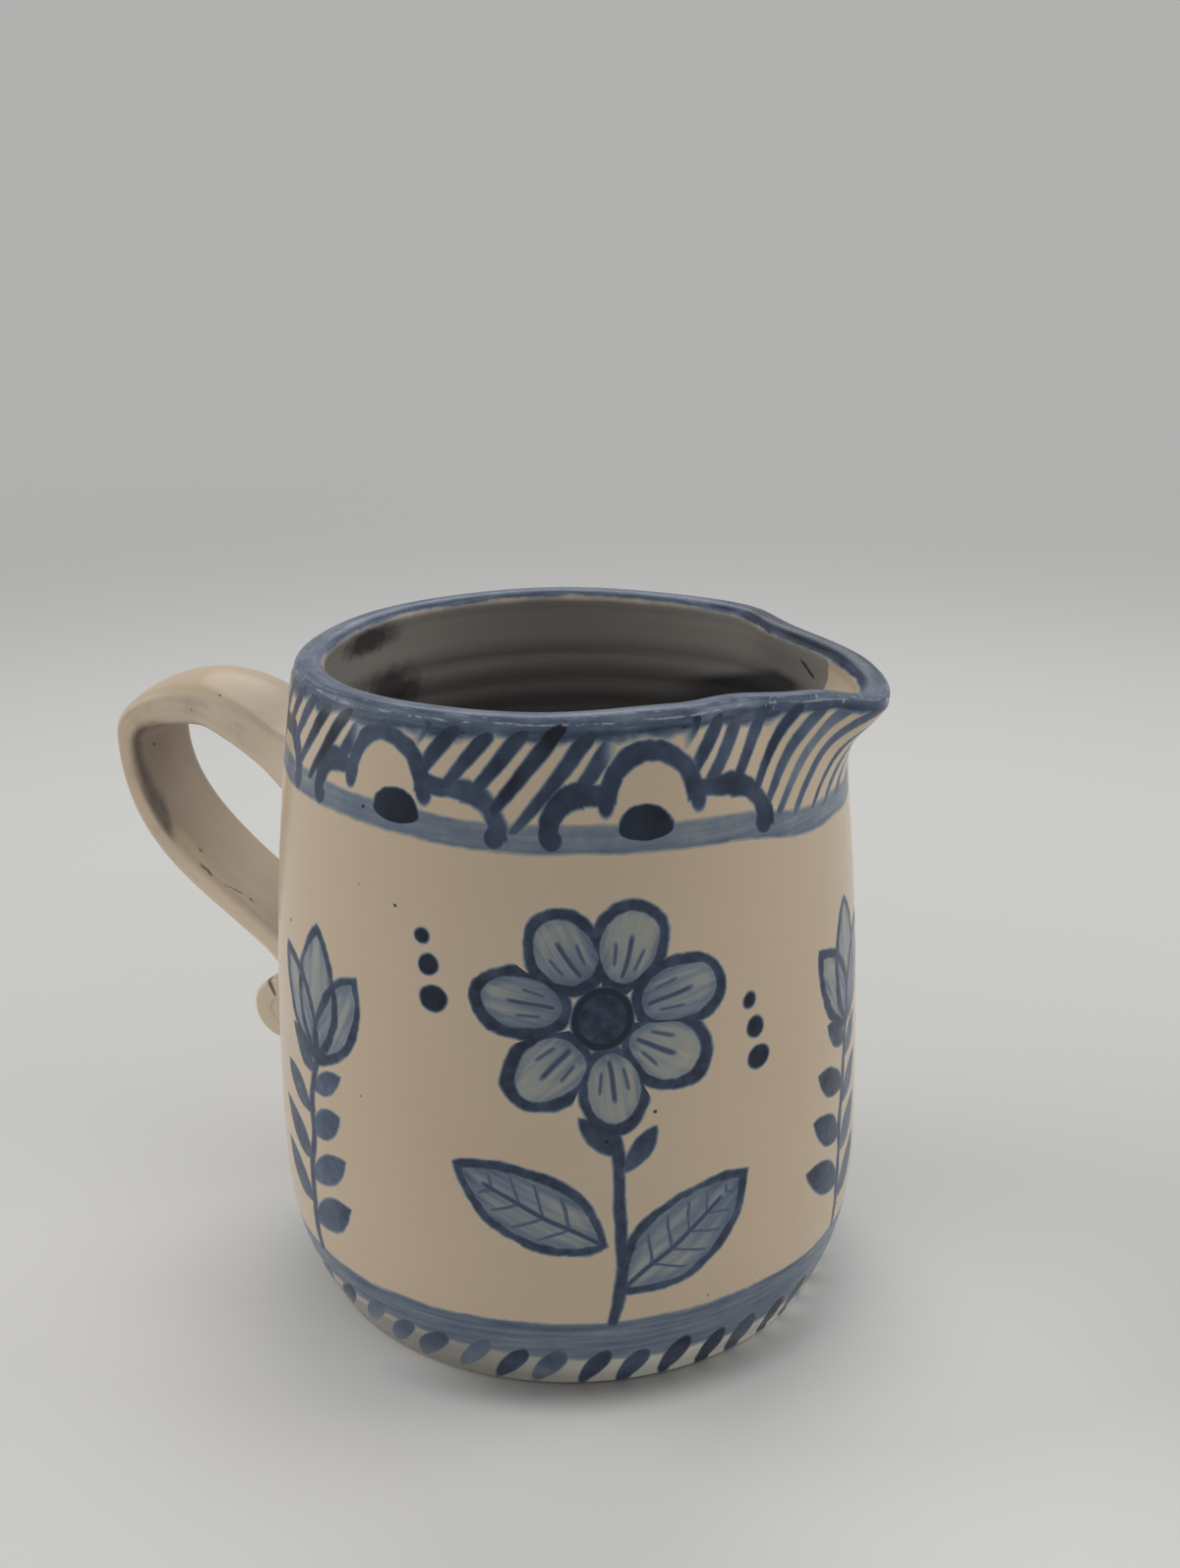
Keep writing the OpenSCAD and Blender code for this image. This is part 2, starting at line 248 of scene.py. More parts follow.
class Signal:
    """A shader socket that can be used in Python sums; node() adds every other kind of node"""

    def __init__(self, tree, socket=None):
        self.tree = tree
        self.socket = socket

    def node(self, kind, settings=None, sockets=None, output=0):
        made = self.tree.nodes.new(kind)
        for name, value in (settings or {}).items():
            if name == "stops":
                set_stops(made.color_ramp, value)
            else:
                setattr(made, name, value)
        for key, value in (sockets or {}).items():
            if isinstance(value, Signal):
                self.tree.links.new(value.socket, made.inputs[key])
            else:
                made.inputs[key].default_value = value
        return Signal(self.tree, made.outputs[output])

    def out(self, name):
        return Signal(self.tree, self.socket.node.outputs[name])

    def math(self, operation, *values):
        return self.node("ShaderNodeMath", {"operation": operation}, dict(enumerate(values)))

    def __add__(self, other):
        return self.math("ADD", self, other)

    def __sub__(self, other):
        return self.math("SUBTRACT", self, other)

    def __mul__(self, other):
        return self.math("MULTIPLY", self, other)

    def __truediv__(self, other):
        return self.math("DIVIDE", self, other)

    def __rsub__(self, other):
        return self.math("SUBTRACT", other, self)

    def __rtruediv__(self, other):
        return self.math("DIVIDE", other, self)

    def __abs__(self):
        return self.math("ABSOLUTE", self)

    __radd__ = __add__
    __rmul__ = __mul__

    def most(self, other):
        return self.math("MAXIMUM", self, other)

    def least(self, other):
        return self.math("MINIMUM", self, other)

    def sine(self):
        return self.math("SINE", self)

    def cosine(self):
        return self.math("COSINE", self)

    def whole(self):
        return self.math("FLOOR", self)

    def remainder(self, divisor):
        return self.math("FLOORED_MODULO", self, float(divisor))

    def limited(self):
        """Kept between 0 and 1"""
        return self.node("ShaderNodeClamp", None, {0: self})

    def smooth(self, start, end):
        """0 before start, 1 past end; start may be the greater"""
        return self.node("ShaderNodeMapRange", {"interpolation_type": "SMOOTHSTEP"},
                         {"Value": self, "From Min": start, "From Max": end})

    def between(self, start, full, still, end):
        """0 before start and past end, 1 from full to still"""
        return self.smooth(start, full) * self.smooth(end, still)

    def in_cell(self):
        """Distance from the middle of the cell of a whole number, and that number"""
        cell = self.whole()
        return self - cell - 0.5, cell

    def mix(self, first, second):
        """A colour between first and second by this factor"""
        sockets = {0: self, 6: rgba(first), 7: rgba(second)}
        return self.node("ShaderNodeMix", {"data_type": "RGBA"}, sockets, 2)

    def scaled(self, x, y, z):
        return self.node("ShaderNodeVectorMath", {"operation": "MULTIPLY"}, {0: self, 1: (x, y, z)})

    def noise(self, scale, detail=2.0, output="Fac"):
        return self.node("ShaderNodeTexNoise", None,
                         {"Vector": self, "Scale": scale, "Detail": detail}, output)

    def parts(self):
        """The three numbers of a vector or a colour"""
        split = self.node("ShaderNodeSeparateXYZ", None, {0: self})
        return split.out("X"), split.out("Y"), split.out("Z")

    def attribute(self, name):
        """A value that the mesh carries on its points"""
        return self.node("ShaderNodeAttribute", {"attribute_name": name}, None, "Fac")

    def chance(self, seed):
        """A number from 0 to 1 for each whole value"""
        return self.node("ShaderNodeTexWhiteNoise", {"noise_dimensions": "1D"}, {"W": self + seed}, "Value")


def rgba(value):
    return value if isinstance(value, Signal) else (*value, 1.0)


def set_stops(ramp, stops):
    while len(ramp.elements) < len(stops):
        ramp.elements.new(1.0)
    for element, (place, shade) in zip(ramp.elements, stops):
        element.position = place
        element.color = (*shade, 1.0)


def vector(x, y, z):
    return x.node("ShaderNodeCombineXYZ", None, {0: x, 1: y, 2: z})


def hypot(x, y):
    return x.node("ShaderNodeVectorMath", {"operation": "LENGTH"}, {0: vector(x, y, 0.0)}, "Value")


def new_material(name):
    """A material with its Principled shader, and a signal to start its nodes from"""
    material = bpy.data.materials.new(name)
    material.use_nodes = True
    tree = material.node_tree
    return material, Signal(tree), tree.nodes["Principled BSDF"]


def in_millimetres(key):
    """Where a point lies in the piece's own frame"""
    return key.node("ShaderNodeTexCoord", output="Object").scaled(1 / MM, 1 / MM, 1 / MM)


def feed(signal, shader, name):
    signal.tree.links.new(signal.socket, shader.inputs[name])


# Brushwork: distances are in millimetres, x round the pot and z up


class Field:
    """The pot's skin laid flat, with the wobble of the hand and the flow of the paint. The bearing is 0 at
    the lip, and the side is the way along the wall from the middle of the rim, less than 0 outside."""

    def __init__(self, key, paint):
        self.paint = paint
        self.radius = paint.radius / MM
        self.place = in_millimetres(key)
        east, north = self.place.parts()[:2]
        self.bearing = key.math("ARCTAN2", north, east)
        self.height = key.attribute("rise")
        self.side = key.attribute("side")
        shake_x, shake_z, slow = self.place.noise(0.07, 1.0, "Color").parts()
        self.shake_x = (shake_x - 0.5) * 4.0
        self.shake_z = (shake_z - 0.5) * 3.0
        self.slow = slow - 0.5
        ragged, blot, load = self.place.noise(0.5, 2.0, "Color").parts()
        self.ragged = (ragged - 0.5) * 1.2
        self.blot = blot - 0.5
        self.load = load - 0.5
        self.grain = self.place.noise(1.7, 3.0) - 0.5
        self.cloudy = self.place.noise(0.15, 2.0) - 0.5
        flat = vector(self.bearing * (self.radius * 0.07), self.height * 1.2, 0.0)
        self.streak = flat.noise(1.0, 3.0) - 0.5
        self.lip = abs(self.bearing).smooth(0.72, 0.12)
        self.lowered = self.lip * (paint.lip_drop / MM) + self.bearing.cosine() * (paint.border_tilt / MM)

    def repeat(self, copies, turn=0.0):
        """Distance from the middle of the nearest of so many copies, and which copy it is"""
        off, cell = (self.bearing * (copies / TURN) + (0.5 - turn * copies / TURN)).in_cell()
        return off * (TURN * self.radius / copies), cell.remainder(copies)

    def strokes(self, slanted, copies, seed, stray, close):
        """Distance across the nearest of so many slanted strokes, which one it is and its chance"""
        off, cell = (slanted * (copies / TURN)).in_cell()
        index = cell.remainder(copies)
        chance = index.chance(seed)
        across = (off + (chance - 0.5) * stray) * (TURN * self.radius / copies * close)
        return across, index, chance


def fade(distance, reach, soft=0.4):
    """1 within reach, 0 beyond, with a soft edge"""
    return (distance - reach).smooth(soft, -soft)


def heaviest(coats):
    """The most paint that any of the coats lays down"""
    return functools.reduce(Signal.most, coats)


def turned(x, z, at, degrees):
    """Distances along and across a direction from a point"""
    c, s = math.cos(math.radians(degrees)), math.sin(math.radians(degrees))
    dx, dz = x - at[0], z - at[1]
    return dx * c + dz * s, dz * c - dx * s


def pointed_leaf(x, z, root, degrees, extent, half):
    """Distance outside a pointed leaf between two arcs, and its along and across distances"""
    along, across = turned(x, z, root, degrees)
    arc = (extent ** 2 / 4 + half ** 2) / (2 * half)
    return hypot(along - extent / 2, abs(across) + (arc - half)) - arc, along, across


def oval(along, across, half_long, half_wide):
    """Distance outside an oval"""
    share = hypot(along / half_long, across / half_wide)
    steep = hypot(along / half_long ** 2, across / half_wide ** 2)
    return share * (share - 1) / steep.most(0.001)


def washed(field, edge, wash, ink, half):
    """A shape with a thin wash, pooled at its rim, inside a loaded outline"""
    pool = fade(abs(edge + 1.1), 0.7, 0.8) * 0.10
    inner = fade(edge, -0.1, 0.5) * (wash + pool)
    line = fade(abs(edge + field.ragged * 0.3), half + field.cloudy * 0.9 + field.load * 0.5)
    return inner.most(line * (ink + field.blot * 0.35 + field.cloudy * 0.3))


def solid(field, edge, ink):
    """A shape made with one press of a full brush"""
    return fade(edge + field.ragged * 0.35, 0.0) * (ink + field.blot * 0.30 + field.cloudy * 0.35)


def border_stripe(field):
    """The wash line under the border"""
    low, high = field.paint.stripe_low / MM, field.paint.stripe_high / MM
    z = field.height + field.lowered + field.shake_z * 0.5
    stripe = (z + field.ragged * 0.4).smooth(low - 0.5, low + 0.5)
    stripe = stripe * (z - field.ragged * 0.4).smooth(high + 0.5, high - 0.5)
    edge = fade(abs(z - low - 0.5), 0.3, 0.7) * 0.07
    return stripe * (0.47 + edge + field.streak * 0.3 + field.blot * 0.12 + field.cloudy * 0.16)


def border_hatching(field):
    """Slanted strokes below the rim, loaded at their heads and thin at their tails"""
    paint = field.paint
    low, high = paint.stripe_low / MM + 2.4, paint.height / MM - 2.2
    slope = (paint.hatch_lean + field.lip * 0.25) / field.radius
    slanted = field.bearing - (field.height - high) * slope + field.shake_x * (0.25 / field.radius)
    across, index, chance = field.strokes(slanted, paint.strokes, 3.0, 0.24, 0.76)
    top = high - index.chance(11.0) * 1.8
    bottom = low - field.lowered + index.chance(7.0) * 2.2
    share = ((field.height - bottom) / (top - bottom)).limited()
    over = (bottom - field.height).most(field.height - top).most(0.0)
    half = share * 0.62 + (chance * 0.35 + 0.66) - field.lip * 0.18
    distance = hypot(across, over) - half + field.ragged * 0.3
    ink = 0.80 + share * 0.10 + (index.chance(5.0) - 0.5) * 0.26 + field.cloudy * 0.5 + field.blot * 0.12
    return fade(distance, 0.0) * (ink - field.lip * 0.20)


def border_scallops(field):
    """Three-lobed scallops on the stripe with a half dot under each; none at the lip"""
    paint = field.paint
    main_up, main_radius = 7.0, 7.5
    side_out, side_up, side_radius = 11.8, 2.6, 4.9
    box_half, box_top = 13.0, 8.6
    cusp_out, cusp_up, cusp_radius = 7.7, 7.6, 1.45
    foot_out, foot_up, foot_radius = 16.4, 2.0, 1.8
    dot_half, dot_up, dot_rise, dot_fall = 4.5, 3.4, 3.8, 1.8
    x, index = field.repeat(paint.scallops, paint.border_turn)
    present = index.smooth(0.4, 0.6)
    x = x + field.shake_x * 0.45
    z = field.height + field.lowered * 0.8 - paint.stripe_low / MM + field.shake_z * 0.4
    wide = abs(x)
    spread = x.smooth(-3.0, 3.0) * 2.4
    main = hypot(x, (z - main_up).most(0.0) * 0.94) - main_radius
    flank = (wide - side_out - spread) / (1.0 + spread * 0.10)
    side = hypot(flank, (z - side_up).most(0.0) * 0.80) - side_radius
    box = (z - box_top).most(wide - box_half - spread)
    lobes = main.least(side).least(box)
    above = z.smooth(0.6, 2.0)
    half = 1.45 + field.cloudy * 1.5 + field.load * 0.5
    outline = fade(abs(lobes) + field.ragged * 0.35, half) * above
    cusp = fade(hypot(wide - cusp_out, (z - cusp_up) * 0.60), cusp_radius)
    foot = fade(hypot(wide - foot_out - spread * 1.4, z - foot_up), foot_radius)
    bare = fade(lobes, -0.4).most(fade(wide, 6.5, 2.0))
    drawn = heaviest((outline, foot, cusp)) * (0.80 + field.cloudy * 0.5 + field.blot * 0.12)
    dot_x = x - (index * 2.2 + 2.97).sine() * 2.6
    dot_z = (z - dot_up).most(0.0) / dot_rise + (dot_up - z).most(0.0) / dot_fall
    dot = hypot(dot_x / dot_half, dot_z) + field.ragged * 0.16
    dotted = fade(dot, 1.0, 0.09) * (0.97 + field.cloudy * 0.2)
    return drawn.most(dotted) * present, bare * present


def foot_border(field):
    """The wash band above the foot and the slanted dabs under it"""
    paint = field.paint
    low, high = paint.band_low / MM, paint.band_high / MM
    dab_up, dab_half, dab_plump = 5.6, 4.9, 1.55
    z = field.height + field.shake_z * 0.5
    front = field.bearing.cosine()
    tilt = front * (paint.border_tilt / MM)
    band = (z + tilt * 1.6 + field.ragged * 0.5).smooth(low - 0.9, low + 0.7)
    band = band * (z + field.ragged * 0.5).smooth(high + 0.5, high - 0.5)
    edge = fade(abs(z - high + 0.8), 0.4, 0.7) * 0.10
    band = band * (0.53 + edge + field.streak * 0.5 + field.cloudy * 0.25 + field.grain * 0.10)
    lean = (1.0 - front.most(0.0) * 0.92) * (paint.dab_lean / field.radius)
    slanted = field.bearing - (field.height - 5.0) * lean
    across, index, chance = field.strokes(slanted, paint.dabs, 31.0, 0.14, 0.78)
    along = z + tilt * 1.1 - (dab_up + index.chance(33.0) * 1.4)
    plump = dab_plump + chance * 0.45 + along * 0.10
    distance = hypot(across / plump, along / dab_half) + field.ragged * 0.09
    ink = 0.72 + (index.chance(37.0) - 0.5) * 0.34 + along * 0.022 + field.cloudy * 0.5 + field.blot * 0.08
    return band.most(fade(distance, 1.0, 0.14) * ink)


def flower_head(field, x, z, index):
    """A wide flower: washed petals with brushed veins round a dark heart"""
    petal_out, petal_long, petal_wide, heart_radius = 11.4, 6.7, 5.2, 4.3
    petals, away = field.paint.petals, hypot(x, z)
    off, cell = (x.math("ARCTAN2", z, x) * (petals / TURN) + 0.18).in_cell()
    chance = (cell.remainder(petals) + index * 16.0).chance(41.0)
    lobe = (off + (chance - 0.5) * 0.16) * (TURN / petals)
    across, along = away * lobe.sine(), away * lobe.cosine() - petal_out - chance * 1.3
    edge = oval(along, across, petal_long, petal_wide)
    streak = vector(across * 0.9, along * 0.09, cell * 3.0).noise(1.0, 2.0) - 0.5
    wash = 0.36 + streak * 0.45 + (chance - 0.5) * 0.14 - along * 0.012
    coat = washed(field, edge, wash, 0.84, 0.95)
    vein = fade(abs(across - along * 0.05), 0.5) * along.between(-6.0, -4.6, 1.2, 3.4)
    beside = fade(abs(abs(across) - 2.3 - along * 0.16), 0.42) * along.between(-4.5, -3.0, -0.4, 1.6)
    coat = coat.most(vein * 0.76).most(beside * 0.68)
    heart = fade(away + field.ragged * 0.3, heart_radius) * (0.86 + field.blot * 0.5)
    ring = fade(abs(away - heart_radius + field.ragged * 0.3), 0.8) * 0.96
    return coat.most(heart).most(ring)


def sprig_place(field):
    """Place beside the nearest stem, which stem it is, and 1 where that is a low one"""
    x, index = field.repeat(2 * field.paint.sprigs, math.pi / field.paint.sprigs)
    low = index.remainder(2).smooth(0.4, 0.6)
    return x + field.shake_x * 0.8, field.height + field.shake_z * 0.8, index, low


def stem(field, off, z, half, full, end):
    """One pull of the brush from the band at the foot, full up to one height and gone at the other"""
    foot = field.paint.band_high / MM - 1
    reach = z.between(foot - 0.5, foot + 0.5, full, end)
    return fade(abs(off) + field.ragged * 0.25, half) * reach * (0.82 + field.blot * 0.4)


def tall_flower(field):
    """A stem with two washed leaves and a wide flower, several times round the pot"""
    x, z, index, low = sprig_place(field)
    centre = field.paint.flower_height / MM
    sway, sway_height, stem_half, vein_pitch = 2.6, 84.0, 1.05, 4.2
    bend = (z * (TURN / sway_height) - 0.9).sine() * sway
    thick = stem_half + field.cloudy * 0.9 + field.load * 0.4
    coat = stem(field, x - bend, z, thick, centre - 18, centre - 16)
    for root, degrees, extent, half in (((1.8, 22.0), 38.0, 27.0, 6.4), ((-0.5, 31.0), 150.0, 25.0, 6.0)):
        edge, along, across = pointed_leaf(x, z, root, degrees, extent, half)
        streak = vector(along * 0.08, across * 0.8, degrees).noise(1.0, 2.0) - 0.5
        coat = coat.most(washed(field, edge, 0.34 + streak * 0.5 + along * 0.006, 0.82, 0.85))
        rib = fade(abs(across), 0.55) * along.between(0.0, 1.0, extent * 0.80, extent * 0.88)
        slanted = (along - abs(across) * 0.8 + field.ragged * 0.5) / vein_pitch
        gap = abs(slanted.in_cell()[0]) * vein_pitch
        vein = fade(gap, 0.5) * fade(edge, -1.2) * along.smooth(4.0, 5.0)
        coat = coat.most(rib * 0.78).most(vein * 0.66)
    for root, degrees in (((2.2, 43.0), 52.0), ((1.8, 46.0), 133.0)):
        edge, along, _ = pointed_leaf(x, z, root, degrees, 9.5, 1.9)
        coat = coat.most(solid(field, edge, 0.70 + along * 0.02))
    return coat.most(flower_head(field, x, z - centre, index)) * (1 - low)


def low_sprig(field):
    """A bent sprig of brush leaves with a washed bud on top, between the flowers"""
    x, z, _, low = sprig_place(field)
    foot, tip = field.paint.band_high / MM - 1, field.paint.bud_height / MM
    curve, aside = 0.0022, 3.0

    def middle(height):
        return (height - foot) * (height - foot) * curve - aside

    coat = stem(field, x - middle(z), z, 0.85 + field.cloudy * 0.8, tip - 0.5, tip + 0.5)
    for at, extent, half in ((21.0, 14.0, 2.9), (30.0, 13.0, 2.7), (39.0, 11.5, 2.5), (47.5, 9.5, 2.2)):
        for degrees, later, ink in ((36.0, 0.0, 0.74), (146.0, 3.5, 0.84)):
            root = (middle(at + later), at + later)
            edge, along, _ = pointed_leaf(x, z, root, degrees, extent, half)
            coat = coat.most(solid(field, edge, ink - 0.10 + along * 0.012))
    for degrees, extent, half in ((124.0, 19.0, 4.0), (56.0, 19.0, 4.0), (90.0, 22.0, 5.2)):
        edge, along, across = pointed_leaf(x, z, (middle(tip), tip - 2.0), degrees, extent, half)
        streak = vector(along * 0.09, across * 0.8, degrees).noise(1.0, 2.0) - 0.5
        coat = coat.most(washed(field, edge, 0.40 + streak * 0.5 - along * 0.004, 0.84, 0.85))
    return coat * low


def loose_dots(field):
    """Rows of dots, each smaller than the one under it, in the spaces between the sprigs"""
    x, index = field.repeat(2 * field.paint.sprigs, math.pi / (2 * field.paint.sprigs))
    high_row, row_drop = 71.0, 13.0
    start = high_row - index.remainder(2) * row_drop
    x = x + field.shake_x * 0.6
    z = field.height + field.shake_z
    rows = ((0.0, 0.0, 2.3), (0.8, 5.6, 1.8), (2.0, 10.2, 1.3))
    dots = heaviest(fade(hypot(x + aside, z - start - above) + field.ragged * 0.4, size)
                    for aside, above, size in rows)
    return dots * (0.97 + field.blot * 0.15)


def brushwork(field):
    """How much blue lies on each place, from 0, bare clay, to 1, a pool of navy"""
    outside = field.side.smooth(0.4, -0.4)
    scallops, bare = border_scallops(field)
    hatching = border_hatching(field) * (1 - bare)
    return heaviest((border_stripe(field), hatching, scallops, foot_border(field),
                     tall_flower(field), low_sprig(field), loose_dots(field))) * outside


def rim_paint(field):
    """Blue brushed over the rim: a wash that runs down outside, darker on top beside the lip, partly loaded
    paint and partly painted shade against the sheen there
    """
    reach = field.paint.rim_band / MM + field.slow * 4.5 + field.cloudy * 3.0
    beside_lip = field.bearing.smooth(1.35, 0.95)
    # Partly painted shade: more blue on top beside the lip, against the sheen there
    loaded = field.bearing.smooth(0.05, 0.30) * beside_lip * field.side.smooth(-2.0, -0.3)
    shoulder = field.bearing.smooth(0.45, 0.70) * beside_lip
    into = 2.8 + field.slow * 2.0 + field.lip * 0.3 + shoulder * 0.6 + field.ragged * 0.7
    mask = (field.side + reach + field.ragged * 0.9).smooth(-1.0, 0.9)
    mask = mask * (field.side - into).smooth(0.5, -0.5)
    along = vector(field.bearing * 7.0, field.side * 1.5, 0.0).noise(1.0, 3.0) - 0.5
    under = fade(abs(field.side + 4.6), 0.9, 1.2) * 0.16
    return mask * (0.62 + under + loaded * 0.26 + along * 0.5 + field.cloudy * 0.35 + field.grain * 0.15)


def rim_wear_and_glints(field):
    """Pale broken lines on the rim's outer edge, partly glaze worn thin and partly painted highlight, and a
    line of pits under it
    """
    wander = field.shake_z * 0.35 + field.ragged * 0.3
    broken = vector(field.bearing * 26.0, field.side * 0.9, 5.0).noise(1.0, 5.0)
    crest = fade(abs(field.side + 2.8 + wander), 0.10, 0.20)
    inner = fade(abs(field.side + 1.7 - wander), 0.06, 0.20) * 0.7
    worn_and_glint = crest.most(inner) * broken.smooth(0.48, 0.60)
    near_crest = fade(abs(field.side + 2.5), 0.7 + field.lip * 0.5, 0.7)
    flecks = near_crest * (field.grain + field.load * 0.6 + field.lip * 0.10).smooth(0.20, 0.34) * 0.85
    pits = fade(abs(field.side + 4.3 + wander * 1.6), 0.14, 0.16) * broken.smooth(0.45, 0.40)
    return worn_and_glint.most(flecks), pits


def inside_blotches(field):
    """Dark blotches in the wall behind the handle, and a crack in the throat of the lip"""
    x, _ = field.repeat(1, math.radians(168))
    first = hypot((x - 5.4) / 11.8, (field.height - 111.0) / 2.9)
    second = hypot((x + 2.6) / 10.5, (field.height - 99.2) / 5.6)
    marks = fade(first.least(second) + field.ragged * 0.35 + field.load * 0.45, 0.8, 0.40)
    x, _ = field.repeat(1, math.radians(30))
    along, across = turned(x, field.height, (0.4, 107.9), 33)
    crack = fade(abs(across + field.ragged * 0.5), 0.28, 0.2) * along.between(0.0, 0.8, 4.2, 5.6)
    within = field.side.smooth(2.5, 3.5)
    return marks * within, crack * within


def specks(key, place, cell, size):
    """Iron specks: one in some of the cells, each of its own size"""
    cells = key.node("ShaderNodeTexVoronoi", None, {"Vector": place, "Scale": 1 / cell}, "Distance")
    lucky = cells.out("Color").parts()[0]
    return fade(cells * cell, lucky.smooth(0.5, 1.0) * size, 0.08)


def tinted(shade, *factors):
    return tuple(c * f for c, f in zip(shade, factors))


def raised(height, strength, distance):
    """A normal that stands up where the height does"""
    sockets = {"Strength": strength, "Distance": distance, "Height": height}
    return height.node("ShaderNodeBump", None, sockets)


def outside_clay(field):
    """Cream clay in soft warm clouds, with painted light and shade under the band at the foot: lighter and
    greyer on one side, darker on the other
    """
    paint = field.paint
    warm = (field.place.noise(0.035, 2.0) - 0.5) * 0.9 + 0.5
    clay = warm.mix(paint.cream, tinted(paint.cream, 0.91, 0.88, 0.83))
    foot = field.height.smooth(10.5, 7.5) * field.side.smooth(0.0, -1.0)
    # Painted light and shade: the foot's cream is lighter on one side and darker on the other
    dull = (field.bearing - paint.foot_shade_bearing).cosine().smooth(0.05, 0.90)
    return (foot * 0.9).mix(clay, dull.mix(paint.foot_pale, paint.foot_shade))


def inside_tone_and_shade(field, groove, marks):
    """Inside colour: painted shade beside the lip, low down, in the hollow below the lip and in the grooves,
    and darker where the blotches lie
    """
    paint = field.paint
    from_lip = abs(field.bearing)
    # Painted shade beside the lip
    throat = from_lip.smooth(1.30, 0.50) * field.side.smooth(3.5, 7.0)
    wall = (throat * 0.9).mix(paint.inside, paint.throat)
    # Painted shade, deeper inside
    wall = field.side.smooth(8.0, 32.0).mix(wall, paint.inside_shade)
    # Painted shade in the hollow below the lip
    hollow_start = (from_lip * 11.4).most(9.35)
    hollow = from_lip.between(0.58, 0.70, 1.25, 1.60) * (field.side - hollow_start).smooth(0.6, 3.0)
    wall = (hollow * 0.9).mix(wall, tinted(paint.inside_shade, 0.4, 0.4, 0.45))
    # Painted shade in the grooves of the throwing rings
    wall = (groove * 0.5 + field.streak * 0.25).mix(wall, paint.inside_shade)
    return (marks * 0.92).mix(wall, tinted(paint.smear, 0.6, 0.6, 0.6))


def inside_share(field):
    """1 where the darker inside colour and its painted shade lie: past the rim inside, and further in at the
    lip, which stays cream
    """
    cream_lip = (abs(field.bearing) + field.ragged * 0.02).smooth(0.49, 0.42)
    return (field.side - cream_lip * 14.0 + field.ragged * 0.9 + field.slow * 3.0).smooth(2.4, 3.8)


def brush_colour(paint, coat):
    """The blue of a coat, from the thinnest wash to a pool"""
    stops = ((0.0, paint.pale_blue), (0.32, paint.pale_blue), (0.48, paint.wash_blue),
             (0.66, paint.brush_blue), (0.83, paint.deep_blue), (1.0, paint.navy))
    return coat.node("ShaderNodeValToRGB", {"stops": stops}, {0: coat}, "Color")


def painted_glaze(paint):
    """Cream clay with blue brushwork under a clear satin glaze"""
    material, key, shader = new_material("painted_glaze")
    field = Field(key, paint)
    coat = brushwork(field).most(rim_paint(field))
    marks, crack = inside_blotches(field)
    inside = inside_tone_and_shade(field, key.attribute("groove"), marks)
    clay = inside_share(field).mix(outside_clay(field), inside)
    surface = coat.smooth(0.03, 0.30).mix(clay, brush_colour(paint, coat))
    worn_and_glint, pits = rim_wear_and_glints(field)
    # Partly worn glaze, partly painted highlight on the rim's crest
    surface = (worn_and_glint * 0.8).mix(surface, paint.worn_and_glint)
    speck = specks(key, field.place, 6.5, 0.36)
    surface = (speck.most(pits).most(crack) * 0.92).mix(surface, paint.speck)
    bare = field.height.smooth(0.30, 0.05) * field.side.smooth(-60.0, -90.0)
    surface = bare.mix(surface, paint.bare_clay)
    feed(surface, shader, "Base Color")
    feed(0.21 + coat * 0.08 + field.grain * 0.10 + worn_and_glint * 0.2 + bare * 0.5, shader, "Roughness")
    height = field.grain * 0.04 - speck * 0.6 + (field.place.noise(0.22, 2.0) - 0.5) * 0.40
    feed(raised(height, 0.35, 0.4 * MM), shader, "Normal")
    shader.inputs["Specular IOR Level"].default_value = 0.2
    return material


class Strap:
    """The handle's skin. Along it, 0 is the upper root, 1 the crown, 2 the bend, 3 the lower root and
    3.2 to 4.2 the tail; across runs from -1, the side near the camera, to 1; face from -1, the side
    towards the pot, to 1. The edge is the distance from the near side."""

    def __init__(self, key, paint):
        self.paint = paint
        self.place = in_millimetres(key)
        self.along = key.attribute("along")
        self.across = key.attribute("across")
        self.face = key.attribute("face")
        self.edge = (self.across + 1.0) * (paint.strap_half / MM)
        self.cloudy = self.place.noise(0.12, 3.0) - 0.5
        self.grain = self.place.noise(1.3, 3.0) - 0.5
        self.ragged = self.place.noise(0.6, 3.0) - 0.5
        self.pulled = vector(self.along * 2.2, self.across * 3.0, self.face * 1.5).noise(1.0, 3.0) - 0.5


def strap_tones(strap):
    """Cream with painted shade inside the bend, lifted near its lower near edge, a top painted darker and
    warmer against its sheen, and painted light on the near edges and the tail
    """
    cream, along, across, face = strap.paint.cream, strap.along, strap.across, strap.face
    surface = (strap.pulled * 1.4 + strap.cloudy + 0.25).mix(cream, tinted(cream, 0.88, 0.84, 0.78))
    # Painted shade inside the bend, in the smear's colour, with painted light near the lower near edge
    bend = face.smooth(-0.55, -0.97) * along.between(1.20, 1.75, 2.10, 2.70)
    lit_edge = along.smooth(2.30, 2.37) * strap.edge.smooth(4.4, 2.6)
    surface = (bend * (0.47 - lit_edge * 0.45)).mix(surface, strap.paint.smear)
    # Painted: the top darker and warmer against its sheen
    top = face.smooth(0.3, 0.9) * along.smooth(1.75, 1.35)
    # Painted light: the near sides and the tail lighter
    upper_side = across.smooth(-0.82, -0.98) * along.smooth(1.50, 1.10)
    lower_side = across.smooth(-0.70, -0.92) * along.smooth(2.20, 2.60)
    tail = along.smooth(3.10, 3.25)
    for share, tint in ((top * 0.50, (0.88, 0.83, 0.73)), (upper_side * 0.8, (1.08, 1.11, 1.16)),
                        (lower_side * 0.8, (1.20, 1.21, 1.22)), (tail * 0.8, (1.12, 1.14, 1.16))):
        surface = share.mix(surface, tinted(cream, *tint))
    return surface


